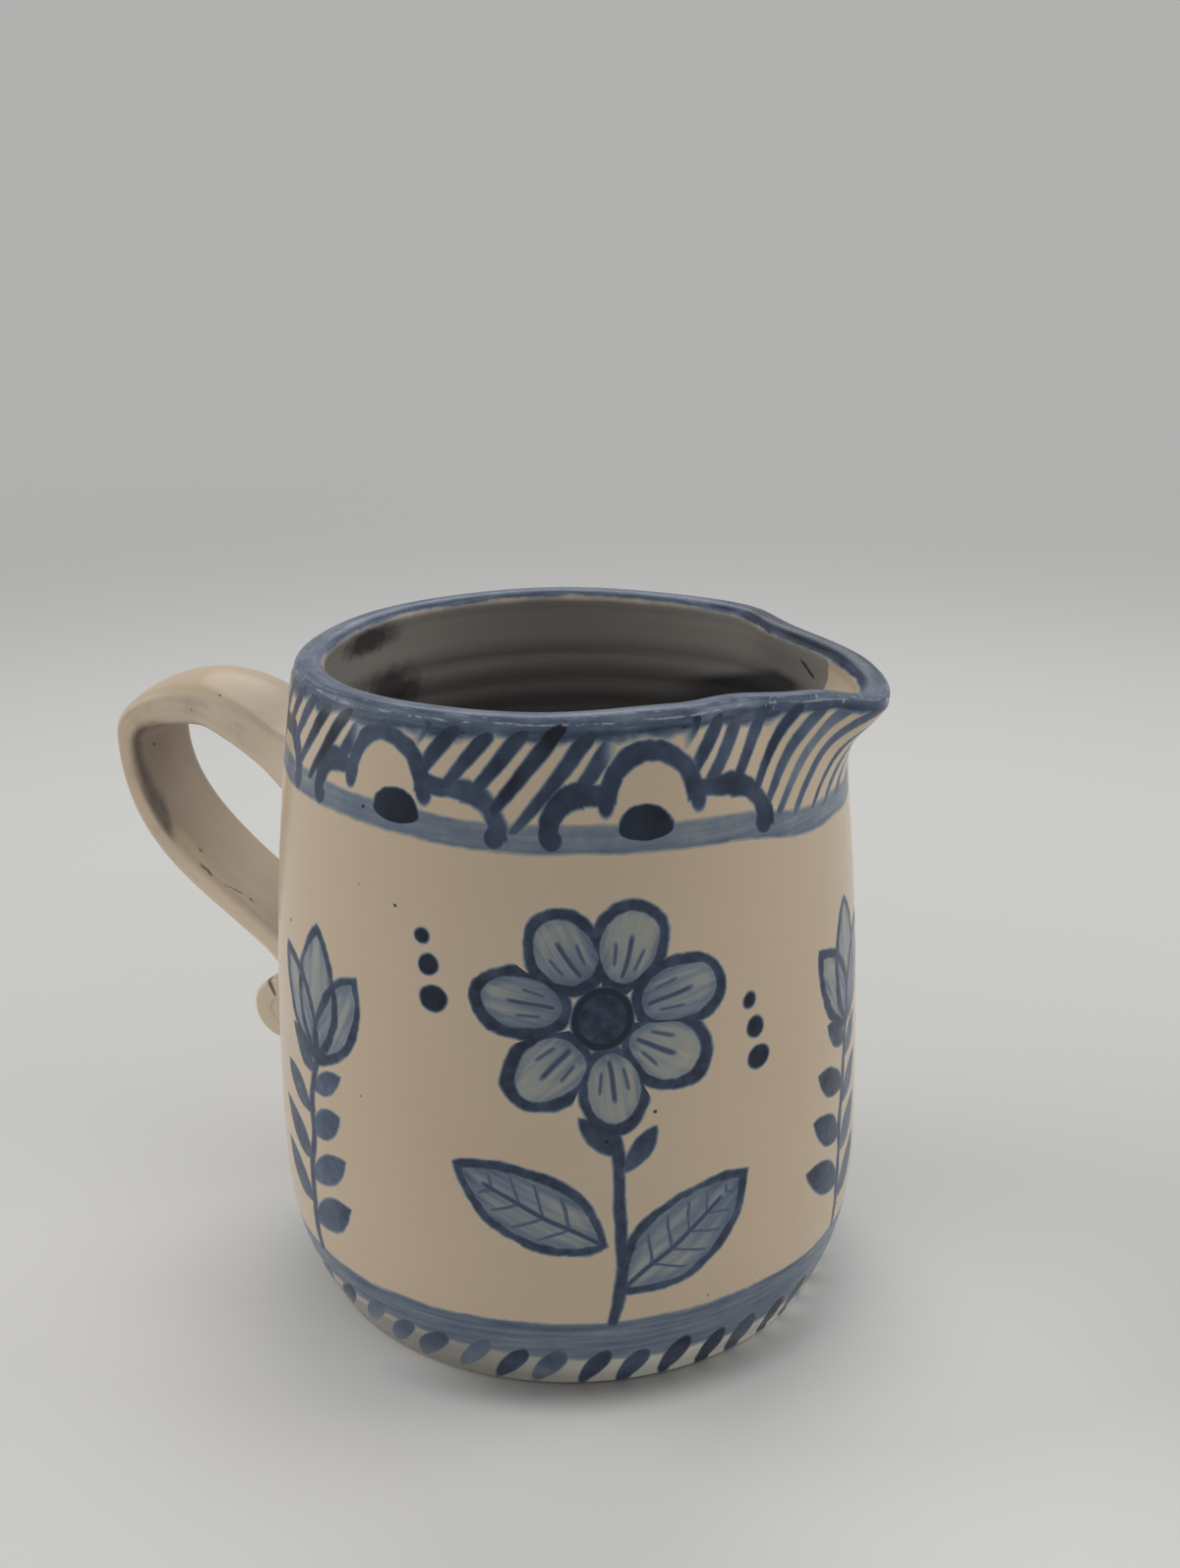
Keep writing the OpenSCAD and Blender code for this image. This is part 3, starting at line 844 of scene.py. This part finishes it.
def dark_smear(strap):
    """The dark smear that runs down the near edge inside the bend and widens on its way"""
    along, edge, ragged = strap.along, strap.edge, strap.ragged
    lower = along.smooth(2.02, 2.28)
    smear = (edge + ragged * 2.0 - lower * 1.7).smooth(3.8, 0.4) * edge.smooth(0.1, 1.3).most(lower)
    smear = smear * strap.face.smooth(-0.45, -0.85) * along.smooth(1.50, 1.80)
    smear = smear * (along + ragged * 0.05 + edge * 0.03).smooth(2.40, 2.33)
    return smear * (0.80 + strap.pulled * 1.4 + ragged * 0.8).limited()


def smoky_film(strap):
    """A thin grey film in places on the near side, down to the lower arm"""
    film = strap.across.smooth(-0.80, -0.97) * strap.face.smooth(0.95, 0.25)
    return film * (strap.cloudy + strap.pulled * 0.6).smooth(0.02, 0.25) * strap.along.smooth(2.60, 2.45)


def strap_marks(strap):
    """A broken hairline and a dash on the lower arm, and a short crack on the tail"""
    along, edge = strap.along, strap.edge
    inner = strap.face.smooth(-0.15, -0.65)
    wander = vector(along * 14.0, 0.0, 2.0).noise(1.0, 3.0) - 0.5
    broken = vector(along * 22.0, edge * 0.3, 7.0).noise(1.0, 2.0)
    seam = fade(abs(edge - 0.9 - along.smooth(2.55, 2.66) * 1.6 - wander * 2.0), 0.16, 0.2) * inner
    seam = seam * along.between(2.46, 2.50, 2.67, 2.71) * broken.smooth(0.40, 0.50)
    dash = fade(hypot((along - 2.44) / 0.012, (edge - 3.4) / 0.3), 0.7, 0.4) * inner
    knot = fade(abs(along - 3.595), 0.006, 0.006)
    knot = knot * strap.across.smooth(-0.70, -0.90) * strap.face.smooth(0.7, 0.4)
    return heaviest((seam, knot, dash))


def plain_glaze(paint):
    """The handle's cream glaze, with a dark smear, painted shade and painted light, hairline cracks and
    specks
    """
    material, key, shader = new_material("plain_glaze")
    strap = Strap(key, paint)
    smear = dark_smear(strap)
    surface = (smear * 0.90).mix(strap_tones(strap), paint.smear)
    surface = (smoky_film(strap) * 0.25).mix(surface, paint.smear)
    dark = strap_marks(strap).most(specks(key, strap.place, 5.0, 0.30))
    surface = (dark * 0.9).mix(surface, paint.speck)
    feed(surface, shader, "Base Color")
    feed(0.30 + strap.grain * 0.14 + smear * 0.12, shader, "Roughness")
    height = strap.cloudy * 0.8 + strap.grain * 0.05 - dark * 0.6 + strap.pulled * 0.5
    feed(raised(height, 0.4, 0.5 * MM), shader, "Normal")
    shader.inputs["Specular IOR Level"].default_value = 0.25
    return material


# Shapes


def outer_radius(body, z):
    """Outside radius of the pot at a height"""
    low = np.clip(1 - z / body.belly_height, 0, None) ** body.foot_curve
    high = np.clip((z - body.belly_height) / (body.height - body.belly_height), 0, 1) ** body.neck_curve
    return body.belly_radius - np.where(z < body.belly_height, (body.belly_radius - body.foot_radius) * low,
                                        (body.belly_radius - body.rim_radius) * high)


def round_corner(centre, radius, start, end, steps):
    a = np.radians(np.linspace(start, end, steps))
    return np.stack([centre[0] + radius * np.cos(a), centre[1] + radius * np.sin(a)], axis=1)


def pot_profile(body):
    """Radius and height from the middle of the foot, up outside, over the rim and down to the floor"""
    rim, foot = body.rim_round, body.foot_round
    top = body.height - rim
    outside = outer_radius(body, np.array(body.height)) - rim
    base = outer_radius(body, np.array(foot)) - foot
    floor_z = body.floor + body.floor_round
    low = outer_radius(body, np.array(floor_z)) - body.wall - body.floor_round
    wall = np.linspace(foot, top, 112)[1:-1]
    inner = np.linspace(top, floor_z, 100)[1:-1]
    inset = outside - body.wall + 2 * rim
    return np.concatenate([
        np.stack([np.linspace(0, base, 12)[:-1], np.zeros(11)], axis=1),
        round_corner((base, foot), foot, -90, 0, 7),
        np.stack([outer_radius(body, wall), wall], axis=1),
        round_corner((outside, top), rim, 0, 90, 9),
        round_corner((inset, top), rim, 90, 180, 9),
        np.stack([outer_radius(body, inner) - body.wall, inner], axis=1),
        round_corner((low, floor_z), body.floor_round, 0, -90, 14),
        np.stack([np.linspace(low, 0, 12)[1:], np.full(11, body.floor)], axis=1)])


def hump(a, half):
    """1 in the middle, falling smoothly to 0 at half"""
    return np.where(np.abs(a) < half, (1 + np.cos(math.pi * a / half)) / 2, 0)


def lip_form(lip, a):
    """How far the lip flares and how far the rim is pressed in at each bearing"""
    away = wrapped(a - lip.turn)
    left = away > 0
    swell = hump(away, np.where(left, lip.left_swell, lip.right_swell))
    nose = hump(away, np.where(left, lip.left_nose, lip.right_nose))
    pinch_at = np.where(left, lip.left_pinch_at, lip.right_pinch_at)
    pinch_half = np.where(left, lip.left_pinch_half, lip.right_pinch_half)
    pinch = hump(np.abs(away) - pinch_at, pinch_half) * np.where(left, lip.left_pinch, lip.right_pinch)
    return (1 - lip.nose_share) * swell + lip.nose_share * nose, pinch


def wrapped(a):
    """An angle brought between minus and plus half a turn"""
    return np.arctan2(np.sin(a), np.cos(a))


def lip_bearings():
    """Bearings of the columns of the body's mesh, closer together at the lip"""
    lip = np.linspace(-60, 60, 121)
    rest = np.linspace(60, 300, 181)[1:-1]
    return np.radians(np.concatenate([lip, rest]))


def make_mesh(name, points, faces, values):
    """A smooth mesh object with named values on its points"""
    mesh = bpy.data.meshes.new(name)
    mesh.from_pydata(points.tolist(), [], faces)
    mesh.shade_smooth()
    for key, numbers in values.items():
        attribute = mesh.attributes.new(key, "FLOAT", "POINT")
        attribute.data.foreach_set("value", np.asarray(numbers, np.float32))
    piece = bpy.data.objects.new(name, mesh)
    bpy.context.scene.collection.objects.link(piece)
    return piece


def grid_faces(rows, columns):
    """Quads between rows of points that close on themselves"""
    i, j = np.meshgrid(np.arange(rows - 1), np.arange(columns), indexing="ij")
    k = (j + 1) % columns
    this, after = i * columns, (i + 1) * columns
    return np.stack([this + j, this + k, after + k, after + j], axis=-1).reshape(-1, 4).tolist()


def throwing_rings(body, z, a):
    """The spiral that fingers left inside, from 0 in a groove to 1 on a ridge, and where it shows"""
    neck_fade, floor_clear, floor_fade = 0.005, 0.004, 0.010
    spiral = TURN * z / body.ring_pitch + a - 0.6
    rings = (0.5 + 0.5 * np.sin(spiral + 0.5 * np.sin(TURN * z / body.ring_wander))) ** 0.8
    below_rim = np.clip((body.height - body.ring_start - z) / neck_fade, 0, 1)
    above_floor = np.clip((z - body.floor - floor_clear) / floor_fade, 0, 1)
    return rings, below_rim * above_floor


def faint_rings(body, z, a):
    """Depth of the rings that a sponge left outside, growing from the foot up"""
    foot_fade = 0.012
    wave = np.sin(TURN * z / body.skin_pitch + a + 1.3 * np.sin(TURN * z / body.skin_wander))
    return np.clip(z / foot_fade, 0, 1) * body.skin_depth * (1 + wave) / 2


def jug_body(body, lip):
    """The pot with its pouring lip: one skin from the middle of the foot to the middle of the floor"""
    profile = pot_profile(body)
    steps = np.linalg.norm(np.diff(profile, axis=0), axis=1)
    travelled = np.concatenate([[0], np.cumsum(steps)])
    crest = np.argmax(profile[:, 1])
    side = travelled - (travelled[crest] + body.wall / 2 - body.rim_round)
    a = lip_bearings()[None, :]
    r, z = profile[:, :1], profile[:, 1:]
    inner = np.clip(side[:, None] / body.wall, 0, 1)
    rings, reach = throwing_rings(body, z, a)
    r = r - inner * body.ring_depth * rings * reach
    groove = inner * reach * (1 - rings) ** 3
    r = r - (1 - inner) * faint_rings(body, z, a)
    turn = np.clip((z - lip.start) / (body.height - lip.start), 0, 1)
    turn = (1 - np.cos(math.pi * turn ** lip.curve)) / 2
    share, pinch = lip_form(lip, a)
    lift = np.clip(z / body.height, 0, 1)
    still_radius = 0.020
    r = r + turn * (lip.reach * share - pinch) * np.clip(r / still_radius, 0, 1)
    rise = body.rim_rise * hump(wrapped(a - body.rim_rise_bearing), body.rim_rise_half)
    rise = rise + lip.shoulder * hump(wrapped(a - lip.shoulder_at), lip.shoulder_half)
    uneven = 0.12 * MM * np.sin(3 * a + 0.7) + 0.08 * MM * np.sin(7 * a)
    height = z - turn * lip.dip * share + lift ** 6 * (rise + uneven)
    out_of_round = 0.0006
    r = r * (1 - out_of_round * lift ** 2 * np.sin(2 * a + 0.9))
    drift = -body.lean * np.sin(math.pi * lift ** 0.65)
    x = r * np.cos(a) + drift * math.cos(body.lean_bearing)
    y = r * np.sin(a) + drift * math.sin(body.lean_bearing)
    rows, columns = r.shape[0], a.shape[1]
    points = np.stack([x, y, np.broadcast_to(height, x.shape)], axis=-1)
    body_points = points[1:-1].reshape(-1, 3)
    first, last = points[0, 0], points[-1, 0]
    faces = grid_faces(rows - 2, columns)
    foot_at, floor_at = len(body_points), len(body_points) + 1
    ring = (rows - 3) * columns
    for j in range(columns):
        k = (j + 1) % columns
        faces.append((foot_at, k, j))
        faces.append((floor_at, ring + j, ring + k))
    spread = np.ones((1, columns))
    heights = np.concatenate([(z[1:-1] * spread).ravel() / MM, [0.0, body.floor / MM]])
    sides = np.concatenate([(side[1:-1, None] * spread).ravel() / MM, [side[0] / MM, side[-1] / MM]])
    grooves = np.concatenate([groove[1:-1].ravel(), [0.0, 0.0]])
    return make_mesh("jug_body", np.concatenate([body_points, [first, last]]), faces,
                     {"rise": heights, "side": sides, "groove": grooves})


def bezier(p, t):
    t = t[:, None]
    return p[0] * (1 - t) ** 3 + 3 * p[1] * t * (1 - t) ** 2 + 3 * p[2] * t ** 2 * (1 - t) + p[3] * t ** 3


def handle_line(body, handle, per_curve):
    """Points of the strap's middle line as distance from the axis and height, with where each lies"""
    def root(z):
        return np.array([float(outer_radius(body, np.array(z))), z])

    def step(slope, pull):
        return pull * np.array([math.cos(slope), math.sin(slope)])

    upper, lower = root(handle.upper_root_height), root(handle.lower_root_height)
    crown = np.array([handle.crown_radius, handle.crown_height])
    bend = np.array([handle.bend_radius, handle.bend_height])
    flat, down = 0.0, -math.pi / 2
    curves = (
        (upper, upper + step(handle.upper_root_rise, handle.upper_pull),
         crown - step(flat, handle.upper_pull), crown),
        (crown, crown + step(flat, handle.crown_pull), bend - step(down, handle.crown_pull), bend),
        (bend, bend + step(down, handle.bend_pull),
         lower + step(handle.lower_root_fall, handle.lower_pull), lower))
    t = np.linspace(0, 1, per_curve, endpoint=False)
    line = [upper[None] - step(handle.upper_root_rise, handle.let_in)[None]]
    places = [np.array([-0.1])]
    for i, curve in enumerate(curves):
        line.append(bezier(curve, t))
        places.append(i + t)
    line += [lower[None], lower[None] - step(handle.lower_root_fall, handle.let_in)[None]]
    places += [np.array([3.0]), np.array([3.1])]
    return np.concatenate(line), np.concatenate(places)


def strap_outline(corner, flat, edge):
    """Places on a rounded oblong: which part of its straight core each is on, and the way out from there"""
    core, out = [], []
    for turn, (cx, cy) in enumerate(((1, 1), (-1, 1), (-1, -1), (1, -1))):
        for a in np.radians(90 * turn + np.linspace(0, 90, corner)):
            core.append((cx, cy))
            out.append((math.cos(a), math.sin(a)))
        ahead = ((-1, 1), (-1, -1), (1, -1), (1, 1))[turn]
        for t in np.linspace(0, 1, (flat, edge)[turn % 2] + 2)[1:-1]:
            core.append((cx + t * (ahead[0] - cx), cy + t * (ahead[1] - cy)))
            out.append(((0, 1), (-1, 0), (0, -1), (1, 0))[turn])
    return np.array(core, float), np.array(out, float)


def swept(name, line, half_width, half_thick, rounding, dome, grow, places):
    """A strap swept along a line in the handle's plane, closed at both ends"""
    ahead = np.gradient(line, axis=0)
    ahead /= np.linalg.norm(ahead, axis=1)[:, None]
    normal = np.stack([-ahead[:, 1], ahead[:, 0]], axis=1)
    core, out = strap_outline(8, 15, 3)
    wide, thick = (half_width + grow)[:, None], (half_thick + grow)[:, None]
    corner = np.minimum(rounding + grow, half_thick + grow)[:, None] * 0.98
    across = core[:, 0] * (wide - corner) + corner * out[:, 0]
    lift = core[:, 1] * (thick - corner) + corner * out[:, 1]
    share, face = across / wide, lift / thick
    lift = lift - dome[:, None] * share ** 2 * np.clip(face, 0, 1)
    rho = line[:, :1] + lift * normal[:, :1]
    z = line[:, 1:] + lift * normal[:, 1:]
    points = np.stack([-rho, across, z], axis=-1).reshape(-1, 3)
    rows, sides = across.shape
    faces = [quad[::-1] for quad in grid_faces(rows, sides)]
    faces.append(list(range(sides)))
    faces.append([(rows - 1) * sides + j for j in reversed(range(sides))])
    values = {"along": np.repeat(places, sides), "across": share.ravel(), "face": face.ravel()}
    return make_mesh(name, points, faces, values)


def strap_handle(body, handle):
    """The pulled strap with worked clay at both roots"""
    points_per_curve = 44
    line, places = handle_line(body, handle, points_per_curve)
    thickness = np.interp(places, [0, 1, 2], [handle.root_thickness, handle.crown_thickness,
                                              handle.low_thickness])
    clear = line[:, 0] - outer_radius(body, line[:, 1])
    ease = np.clip(clear / handle.fillet_length, 0, 1)
    worked = np.clip(1 - clear / handle.fillet_length, 0, 1) ** 2
    grow = handle.fillet * worked * np.interp(places, [2, 3], [1, 0.4])
    uneven = 0.18 * MM * np.sin(places * 5.1 + 0.6) + 0.10 * MM * np.sin(places * 11.3)
    width = handle.width / 2 - 0.2 * MM + uneven * ease
    rounding = np.interp(places, [0.4, 1, 1.8], [handle.root_rounding, handle.crown_rounding,
                                                 handle.low_rounding])
    dome = np.interp(places, [0, 0.5, 1, 2.2], [handle.root_dome, 2 * handle.root_dome,
                                                handle.crown_dome, handle.low_dome])
    half = thickness / 2 + uneven * 0.5
    return swept("jug_handle", line, width, half, rounding, dome * ease, grow, places)


def rolled_tail(body, handle):
    """The end of the strap, pressed down the wall and rolled up outwards"""
    thick = handle.tail_thickness
    share = np.linspace(0, 1, 150)
    rolled = handle.roll_turn * share
    half = thick / 2 * (1 + 0.06 * share)
    inward = np.clip((rolled - handle.roll_tighten) / handle.roll_tight, 0, 1) ** 0.8
    radius = (handle.roll_radius - half) * (1 - inward) + handle.roll_eye * inward
    roll = np.stack([handle.roll_distance - radius * np.cos(rolled),
                     handle.roll_height - radius * np.sin(rolled)], axis=1)
    drop = np.linspace(handle.lower_root_height + 0.001, handle.roll_height, 14)[:-1]
    blend = ((drop - handle.roll_height) / (drop[0] - handle.roll_height)) ** 2
    wall = outer_radius(body, drop) + thick * 0.3
    lead = np.stack([roll[0, 0] * (1 - blend) + wall * blend, drop], axis=1)
    line = np.concatenate([lead, roll])
    half = np.concatenate([np.full(len(drop), thick / 2), half])
    width = handle.tail_width / 2 * np.concatenate([np.ones(len(drop)), 1 - 0.04 * share ** 2])
    places = np.linspace(3.2, 4.2, len(line))
    still = np.zeros(len(line))
    rounding = np.full(len(line), handle.tail_rounding)
    return swept("jug_handle_tail", line, width, half, rounding, still, still, places)


def dress(piece, material, slot, *nodes):
    """Gives a piece its material, hangs it under the root and hides the solids it stands for"""
    piece.data.materials.append(material)
    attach(piece, "root")
    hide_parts(*nodes)


class JUG_OT_body(bpy.types.Operator):
    """Model the painted pot with its lip"""
    bl_idname = "jug.body"
    bl_label = "Painted body"

    def execute(self, context):
        scene = context.scene
        piece = jug_body(scene.jug_body, scene.jug_lip)
        dress(piece, painted_glaze(scene.jug_paint), "painted_glaze",
              "thrown_body", "pouring_lip", "lip_slip_seam")
        return {"FINISHED"}


class JUG_OT_handle(bpy.types.Operator):
    """Model the strap handle and its rolled tail"""
    bl_idname = "jug.handle"
    bl_label = "Strap handle"

    def execute(self, context):
        scene = context.scene
        glaze = plain_glaze(scene.jug_paint)
        strap = strap_handle(scene.jug_body, scene.jug_handle)
        dress(strap, glaze, "plain_glaze", "handle_strap", "upper_joint_coil", "lower_joint_coil")
        tail = rolled_tail(scene.jug_body, scene.jug_handle)
        dress(tail, glaze, "plain_glaze", "handle_curl")
        return {"FINISHED"}


# Studio


def paper_tone(stage, place, away):
    """Paper with painted light in the jug's shade, a painted contact shadow under the front of its foot, and
    duller far away
    """
    far, close, beside, under_foot = (0.80, 0.20), (0.20, 0.05), (0.13, 0.06), (0.0545, 0.0455)
    grain = (place.noise(30.0) - 0.5) * 0.04
    tone = (grain + away.smooth(*far)).mix(stage.backdrop, stage.floor)
    towards = (math.cos(stage.shade_bearing), math.sin(stage.shade_bearing), 0)
    front = place.node("ShaderNodeVectorMath", {"operation": "DOT_PRODUCT"}, {0: place, 1: towards}, "Value")
    shaded = (place.parts()[1] * -1.0).smooth(-0.02, 0.065)
    shaded = shaded.most(front.smooth(-0.01, 0.09) * away.smooth(*beside))
    # Painted light: the paper is lightened where the jug's shade falls
    tone = (away.smooth(*close) * shaded).mix(tone, stage.near)
    # Painted contact shadow under the front of the foot
    painted_contact_shadow = away.smooth(*under_foot) * front.smooth(0.030, 0.047)
    return painted_contact_shadow.mix(tone, stage.painted_contact_shadow)


def studio_floor(stage):
    """A wide disc of paper that fades into the backdrop's colour far from the jug"""
    sides = 64
    radii = np.geomspace(0.05, 30.0, 24)
    around = np.linspace(0, TURN, sides, endpoint=False)
    ring = np.stack([np.cos(around), np.sin(around), np.zeros(sides)], axis=1)
    points = np.concatenate([r * ring for r in radii] + [np.zeros((1, 3))])
    faces = [quad[::-1] for quad in grid_faces(len(radii), sides)]
    centre = len(points) - 1
    faces += [(centre, j, (j + 1) % sides) for j in range(sides)]
    floor = make_mesh("studio_floor", points, faces, {})
    material, key, shader = new_material("studio_paper")
    place = key.node("ShaderNodeTexCoord", output="Object")
    away = place.node("ShaderNodeVectorMath", {"operation": "LENGTH"}, {0: place}, "Value")
    feed(paper_tone(stage, place, away), shader, "Base Color")
    shader.inputs["Roughness"].default_value = 0.9
    shader.inputs["Specular IOR Level"].default_value = 0.1
    glow = key.node("ShaderNodeEmission", None, {"Color": rgba(stage.backdrop)})
    tree = material.node_tree
    paper = Signal(tree, shader.outputs[0])
    both = key.node("ShaderNodeMixShader", None, {0: away.smooth(0.25, 1.2), 1: paper, 2: glow})
    tree.links.new(both.socket, tree.nodes["Material Output"].inputs["Surface"])
    floor.data.materials.append(material)


def studio_world(stage):
    """Soft light from all round, with the backdrop's colour where the camera and reflections see it"""
    world = bpy.data.worlds.new("studio")
    world.use_nodes = True
    tree = world.node_tree
    key = Signal(tree)
    rays = key.node("ShaderNodeLightPath", output="Is Camera Ray")
    seen = rays.most(rays.out("Is Glossy Ray")).most(rays.out("Is Transmission Ray"))
    feed(seen.mix(stage.surround, stage.backdrop), tree.nodes["Background"], "Color")
    bpy.context.scene.world = world


def lamp(name, place, aim, size, watts, tint):
    light = bpy.data.lights.new(name, "AREA")
    light.shape = "DISK"
    light.size = size
    light.energy = watts
    light.color = tint
    piece = bpy.data.objects.new(name, light)
    piece.location = place
    piece.rotation_euler = (Vector(aim) - Vector(place)).to_track_quat("-Z", "Y").to_euler()
    bpy.context.scene.collection.objects.link(piece)


def studio_camera(stage):
    camera = bpy.data.cameras.new("camera")
    camera.sensor_width = stage.sensor
    camera.lens = stage.focal / stage.photo_height * stage.sensor
    camera.clip_start = 0.01
    piece = bpy.data.objects.new("camera", camera)
    turn = (Matrix.Rotation(stage.heading, 4, "Z") @ Matrix.Rotation(math.pi / 2 - stage.pitch, 4, "X")
            @ Matrix.Rotation(stage.roll, 4, "Z"))
    piece.matrix_world = Matrix.Translation(stage.camera) @ turn
    bpy.context.scene.collection.objects.link(piece)
    bpy.context.scene.camera = piece


class JUG_OT_stage(bpy.types.Operator):
    """Set the floor, the lamps and the camera"""
    bl_idname = "jug.stage"
    bl_label = "Studio"

    def execute(self, context):
        stage = context.scene.jug_stage
        studio_floor(stage)
        studio_world(stage)
        middle = (0, 0, 0.06)
        lamp("lamp_top", (-0.35, 0.95, 1.25), middle, 1.2, 8.6, (1, 1, 1))
        lamp("lamp_left", (-1.1, -0.35, 0.45), middle, 0.9, 4.4, (1, 0.99, 0.97))
        lamp("lamp_right", (1.0, 0.65, 0.7), middle, 0.9, 5, (1, 0.99, 0.97))
        studio_camera(stage)
        context.scene.view_settings.view_transform = "Standard"
        return {"FINISHED"}


class JUG_PT_panel(bpy.types.Panel):
    """Jug tools in the sidebar"""
    bl_idname = "JUG_PT_panel"
    bl_label = "Hand-painted jug"
    bl_space_type = "VIEW_3D"
    bl_region_type = "UI"
    bl_category = "Jug"

    def draw(self, context):
        for operator in OPERATORS:
            self.layout.operator(operator.bl_idname)
        for name in GROUPS:
            settings = getattr(context.scene, name)
            box = self.layout.box()
            for key in settings.__annotations__:
                box.prop(settings, key)


OPERATORS = (JUG_OT_stage, JUG_OT_body, JUG_OT_handle)
GROUPS = {"jug_body": BodySettings, "jug_lip": LipSettings, "jug_handle": HandleSettings,
          "jug_paint": PaintSettings, "jug_stage": StageSettings}


def register():
    for kind in (*GROUPS.values(), *OPERATORS, JUG_PT_panel):
        bpy.utils.register_class(kind)
    for name, kind in GROUPS.items():
        setattr(bpy.types.Scene, name, bpy.props.PointerProperty(type=kind))


def unregister():
    for name in GROUPS:
        delattr(bpy.types.Scene, name)
    for kind in reversed((*GROUPS.values(), *OPERATORS, JUG_PT_panel)):
        bpy.utils.unregister_class(kind)


def main():
    register()
    bpy.ops.jug.stage()
    bpy.ops.jug.body()
    bpy.ops.jug.handle()
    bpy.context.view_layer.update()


if __name__ == "__main__":
    main()
